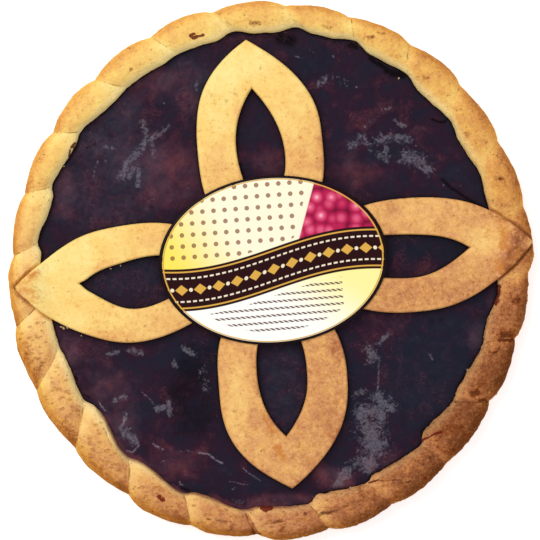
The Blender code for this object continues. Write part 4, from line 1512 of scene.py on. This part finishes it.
def jam_masks(points, bearing, to_flower, to_rim):
    soft_side = side_toward(bearing + PICTURE_TURN, *SOFT_SIDE)
    broken = smooth_step(0.5 + 1.4 * noise(points, 0.009, 63))
    width, power = SHADED_EDGE
    width = width * (1 + 0.7 * noise(points, 0.006, 64))
    by_rim = bell(np.maximum(to_rim, 0), width, power) * (1 - soft_side * (0.55 + 0.45 * broken))
    # Painted shadow spots, most of them where the jam meets the dough
    dark = smooth_step(marks_at(seen_places(points, 0.0003), JAM_SHADOW_SPOTS) * 1.1) * 0.95
    # Rougher patches whose grey is painted sheen of the wrapping film
    dull_sheen = marks_at(seen_places(points, 0.0006), DULL_SHEEN_SPOTS)
    return {
        # painted shadow along the rim and the flower
        "edge": np.maximum(np.maximum(by_rim, bell(to_flower, width, power)), dark),
        "dull_sheen": dull_sheen * smooth_step(np.minimum(to_flower, np.maximum(to_rim, 0)) / DULL_SHEEN_FROM),
        # painted highlights
        "highlight_streak": marks_at(seen_places(points, 0.0004), JAM_HIGHLIGHT_STREAKS),
        "fringe": bell(to_rim, FRINGE) * soft_side * (0.45 + 0.75 * broken) * (to_flower > DULL_SHEEN_FROM),
        "warm": tinted(points, TINTS, 4),
        "light": tinted(points, TINTS, 5),
    }


def make_jam():
    ends = np.linspace(-1, 1, JAM_CELLS + 1)
    across, up = np.meshgrid(ends, ends, indexing="xy")
    x = across * np.sqrt(1 - up ** 2 / 2)
    y = up * np.sqrt(1 - across ** 2 / 2)
    bearing = np.degrees(np.arctan2(y, x))
    edge = jam_edge_radius(bearing)
    radius = np.hypot(x, y) * (edge + JAM_INTO_RIM)
    points = at_bearing(bearing, radius, JAM_LEVEL)
    tree = flower_edge_tree()
    distances = [tree.find((px, py, 0))[2] for px, py, _ in points.reshape(-1, 3)]
    to_flower = np.array(distances).reshape(radius.shape)
    to_rim = edge - radius
    nearest = np.minimum(to_flower, np.maximum(to_rim, 0))
    level = relief(points, JAM_RELIEF) + PIP_HEIGHT * dents(points, scattered_pips())
    lift, over = DRAWN_UP
    points[..., 2] += level * smooth_step(nearest / LEVEL_WITHIN) + lift * bell(nearest, over, 1) - JAM_INSET
    points[..., 2] = np.minimum(points[..., 2], JAM_LEVEL + JAM_STANDS_OUT)
    masks = jam_masks(points, bearing, to_flower, to_rim)
    side = JAM_CELLS + 1
    index = np.arange(side * side).reshape(side, side)
    quads = np.stack((index[:-1, :-1], index[:-1, 1:], index[1:, 1:], index[1:, :-1]), axis=-1)
    loop = np.concatenate((index[0, :-1], index[:-1, -1], index[-1, :0:-1], index[:0:-1, 0]))
    flat = points.reshape(-1, 3)
    low = flat[loop]
    low[:, 2] = FLOOR_LEVEL + GAP
    under = len(flat) + np.arange(len(loop))
    faces = quads.reshape(-1, 4).tolist()
    faces += np.column_stack((loop, np.roll(loop, -1), np.roll(under, -1), under)).tolist()
    faces.append(under.tolist())
    masks = filled_up(masks, len(loop))
    make_piece("jam_set", np.concatenate((flat, low)), faces, jam_material(), masks, "raspberry_jam")


# Label

LABEL_RELIEF = ((0.00010, 0.022, 2, 71),)
# How far the label's edge is bent down and how sharply, and how far its top and its
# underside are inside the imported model's
LABEL_BEND = (0.00012, 6)
LABEL_INSET = (0.00018, 0.0002)


def make_label():
    low, high = (corner.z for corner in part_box("label"))
    angle = np.arange(LABEL_COLUMNS) / LABEL_COLUMNS * 2 * np.pi
    share = np.sqrt(np.arange(1, LABEL_RINGS + 1) / LABEL_RINGS)[:, None]
    right = LABEL_HALF_LENGTH * share * np.cos(angle)
    up = LABEL_HALF_WIDTH * share * np.sin(angle)
    x, y = turn_plan(right, up, math.radians(LABEL_TURN))
    plan = np.stack((x + LABEL_CENTRE[0], y + LABEL_CENTRE[1], 0 * x), axis=-1)
    ripple = relief(plan, LABEL_RELIEF) - LABEL_BEND[0] * share ** LABEL_BEND[1]
    top, under = plan.copy(), plan.copy()
    top[..., 2] = high - LABEL_INSET[0] + ripple
    under[..., 2] = low - LABEL_INSET[1] + ripple
    grid = np.concatenate((top, under[::-1]))
    rows = len(grid)
    inner = list(range(LABEL_COLUMNS))
    faces = grid_faces(rows, LABEL_COLUMNS).tolist() + [inner]
    faces.append([(rows - 1) * LABEL_COLUMNS + place for place in inner][::-1])
    print_place = np.stack((right, up, 0 * up), axis=-1) * 1000
    masks = {"print_place": np.concatenate((print_place, print_place[::-1])).reshape(-1, 3)}
    make_piece("label_printed", grid, faces, label_material(), masks, "label")


# Crumbs

# Crumbs lie on the jam and the rim, by pixel of the picture, with half their length in pixels
PLACED_CRUMBS = (
    ((60.5, 326.4), 1.4), ((63, 327.6), 1.7), ((66.5, 327.2), 1.6), ((80.8, 335.2), 0.8),
    ((467.5, 370), 1.9), ((391, 474), 1.4), ((393.4, 502.5), 1.3), ((63.3, 165.8), 1.1),
    ((165, 262), 0.9), ((110, 268), 1.2), ((120, 265), 1), ((398.4, 77.7), 1.2), ((350, 487), 1),
)
CRUMB_COLOR = (172, 154, 134)
# A crumb's width and height as shares of its length, how uneven it is and how high its middle lies
CRUMB_WIDTH = (0.5, 0.85)
CRUMB_HEIGHT = (0.4, 0.6)
CRUMB_UNEVEN = 0.35
CRUMB_LIFT = 0.3


def crumb_material(dough):
    material, tree, shader = new_material("crumb", 0.8, 0)
    browning, _, _, _, grain, _ = put_group(
        tree, dough, place_on(tree), Patches_per_metre=600, Pores_per_metre=900, Pore_share=0.2
    )
    tone = (browning * 0.4 + 0.45).clipped()
    paint(tree, shader, color_ramp(tree, tone, DOUGH_COLORS), (0.8, CRUMB_COLOR))
    bump(tree, shader, grain, 0.0002)
    return material


def make_crumbs(dough):
    shape = bmesh.new()
    bmesh.ops.create_icosphere(shape, subdivisions=2, radius=1)
    ball = np.array([vert.co[:] for vert in shape.verts])
    ball_faces = np.array([[vert.index for vert in face.verts] for face in shape.faces])
    shape.free()
    chance = random.Random(11)
    points, faces = [], []
    for number, (pixel, half) in enumerate(PLACED_CRUMBS):
        spot, half = in_picture(*pixel), half * PIXEL
        scale = np.array((1, chance.uniform(*CRUMB_WIDTH), chance.uniform(*CRUMB_HEIGHT))) * half
        turn = chance.uniform(0, math.pi)
        uneven = CRUMB_UNEVEN * noise(ball + number * 7.3, 0.8, number)[:, None]
        lump = ball * (1 + uneven) * scale
        x, y = turn_plan(lump[:, 0], lump[:, 1], turn)
        level = lump[:, 2] + JAM_LEVEL + CRUMB_LIFT * half
        points.append(np.stack((x + spot[0], y + spot[1], level), axis=-1))
        faces.append(ball_faces + number * len(ball))
    faces = np.concatenate(faces).tolist()
    piece = make_piece("crumbs", np.concatenate(points), faces, crumb_material(dough))


# Studio

# The floor is a light table, so that hardly any shadow shows on it
FLOOR_GLOW = 0.45
FLOOR_COLOR = (0.9, 0.9, 0.9, 1)
FLOOR_HALF = 4
WHITE = (1, 1, 1, 1)
SKY_STRENGTH = 0.66
# Soft square lamps: name, bearing as seen in the picture, degrees up, distance, size and power
LAMPS = (("window", 135, 52, 1.3, 0.8, 8.6), ("fill", -40, 38, 1.6, 1.2, 3))


def make_floor():
    mesh = bpy.data.meshes.new("floor")
    corners = [(x * FLOOR_HALF, y * FLOOR_HALF, 0) for x, y in ((-1, -1), (1, -1), (1, 1), (-1, 1))]
    mesh.from_pydata(corners, [], [(0, 1, 2, 3)])
    material, _, shader = new_material("pale floor", 0.9, 0.1)
    shader.inputs["Base Color"].default_value = FLOOR_COLOR
    shader.inputs["Emission Color"].default_value = WHITE
    shader.inputs["Emission Strength"].default_value = FLOOR_GLOW
    mesh.materials.append(material)
    floor = bpy.data.objects.new("floor", mesh)
    bpy.context.scene.collection.objects.link(floor)


def add_lamp(name, bearing, height, distance, size, energy):
    """A lamp that looks at the tart."""
    lamp = bpy.data.lights.new(name, "AREA")
    lamp.shape = "SQUARE"
    lamp.size = size
    lamp.energy = energy
    holder = bpy.data.objects.new(name, lamp)
    rise = math.radians(height)
    plan = at_bearing(bearing - PICTURE_TURN, math.cos(rise), math.sin(rise))
    holder.location = Vector(plan.tolist()) * distance
    holder.rotation_mode = "QUATERNION"
    holder.rotation_quaternion = holder.location.to_track_quat("Z", "Y")
    bpy.context.scene.collection.objects.link(holder)


def make_studio():
    make_floor()
    for lamp in LAMPS:
        add_lamp(*lamp)
    world = bpy.data.worlds.new("studio")
    world.use_nodes = True
    tree = world.node_tree
    light = tree.nodes["Background"]
    seen = tree.nodes.new("ShaderNodeBackground")
    for node in (light, seen):
        node.inputs["Color"].default_value = WHITE
    light.inputs["Strength"].default_value = SKY_STRENGTH
    path = tree.nodes.new("ShaderNodeLightPath")
    blend = tree.nodes.new("ShaderNodeMixShader")
    surface = tree.nodes["World Output"].inputs["Surface"]
    for start, end in (
        (path.outputs["Is Camera Ray"], blend.inputs[0]), (light.outputs[0], blend.inputs[1]),
        (seen.outputs[0], blend.inputs[2]), (blend.outputs[0], surface),
    ):
        tree.links.new(start, end)
    bpy.context.scene.world = world
    bpy.context.scene.view_settings.view_transform = "Standard"


def make_camera():
    data = bpy.data.cameras.new("camera")
    data.sensor_width = SENSOR
    data.lens = SENSOR * (CAMERA_HEIGHT - SEEN_LEVEL) / (PICTURE_PIXELS * PIXEL)
    data.clip_start = 0.01
    data.clip_end = 20
    camera = bpy.data.objects.new("camera", data)
    camera.location = (*in_picture(PICTURE_CENTRE, PICTURE_CENTRE), CAMERA_HEIGHT)
    camera.rotation_euler = (0, 0, math.radians(-PICTURE_TURN))
    bpy.context.scene.collection.objects.link(camera)
    bpy.context.scene.camera = camera


def main():
    make_camera()
    make_studio()
    dough = make_dough_group()
    make_crust(dough)
    make_jam()
    make_flower(dough)
    make_label()
    make_crumbs(dough)


main()
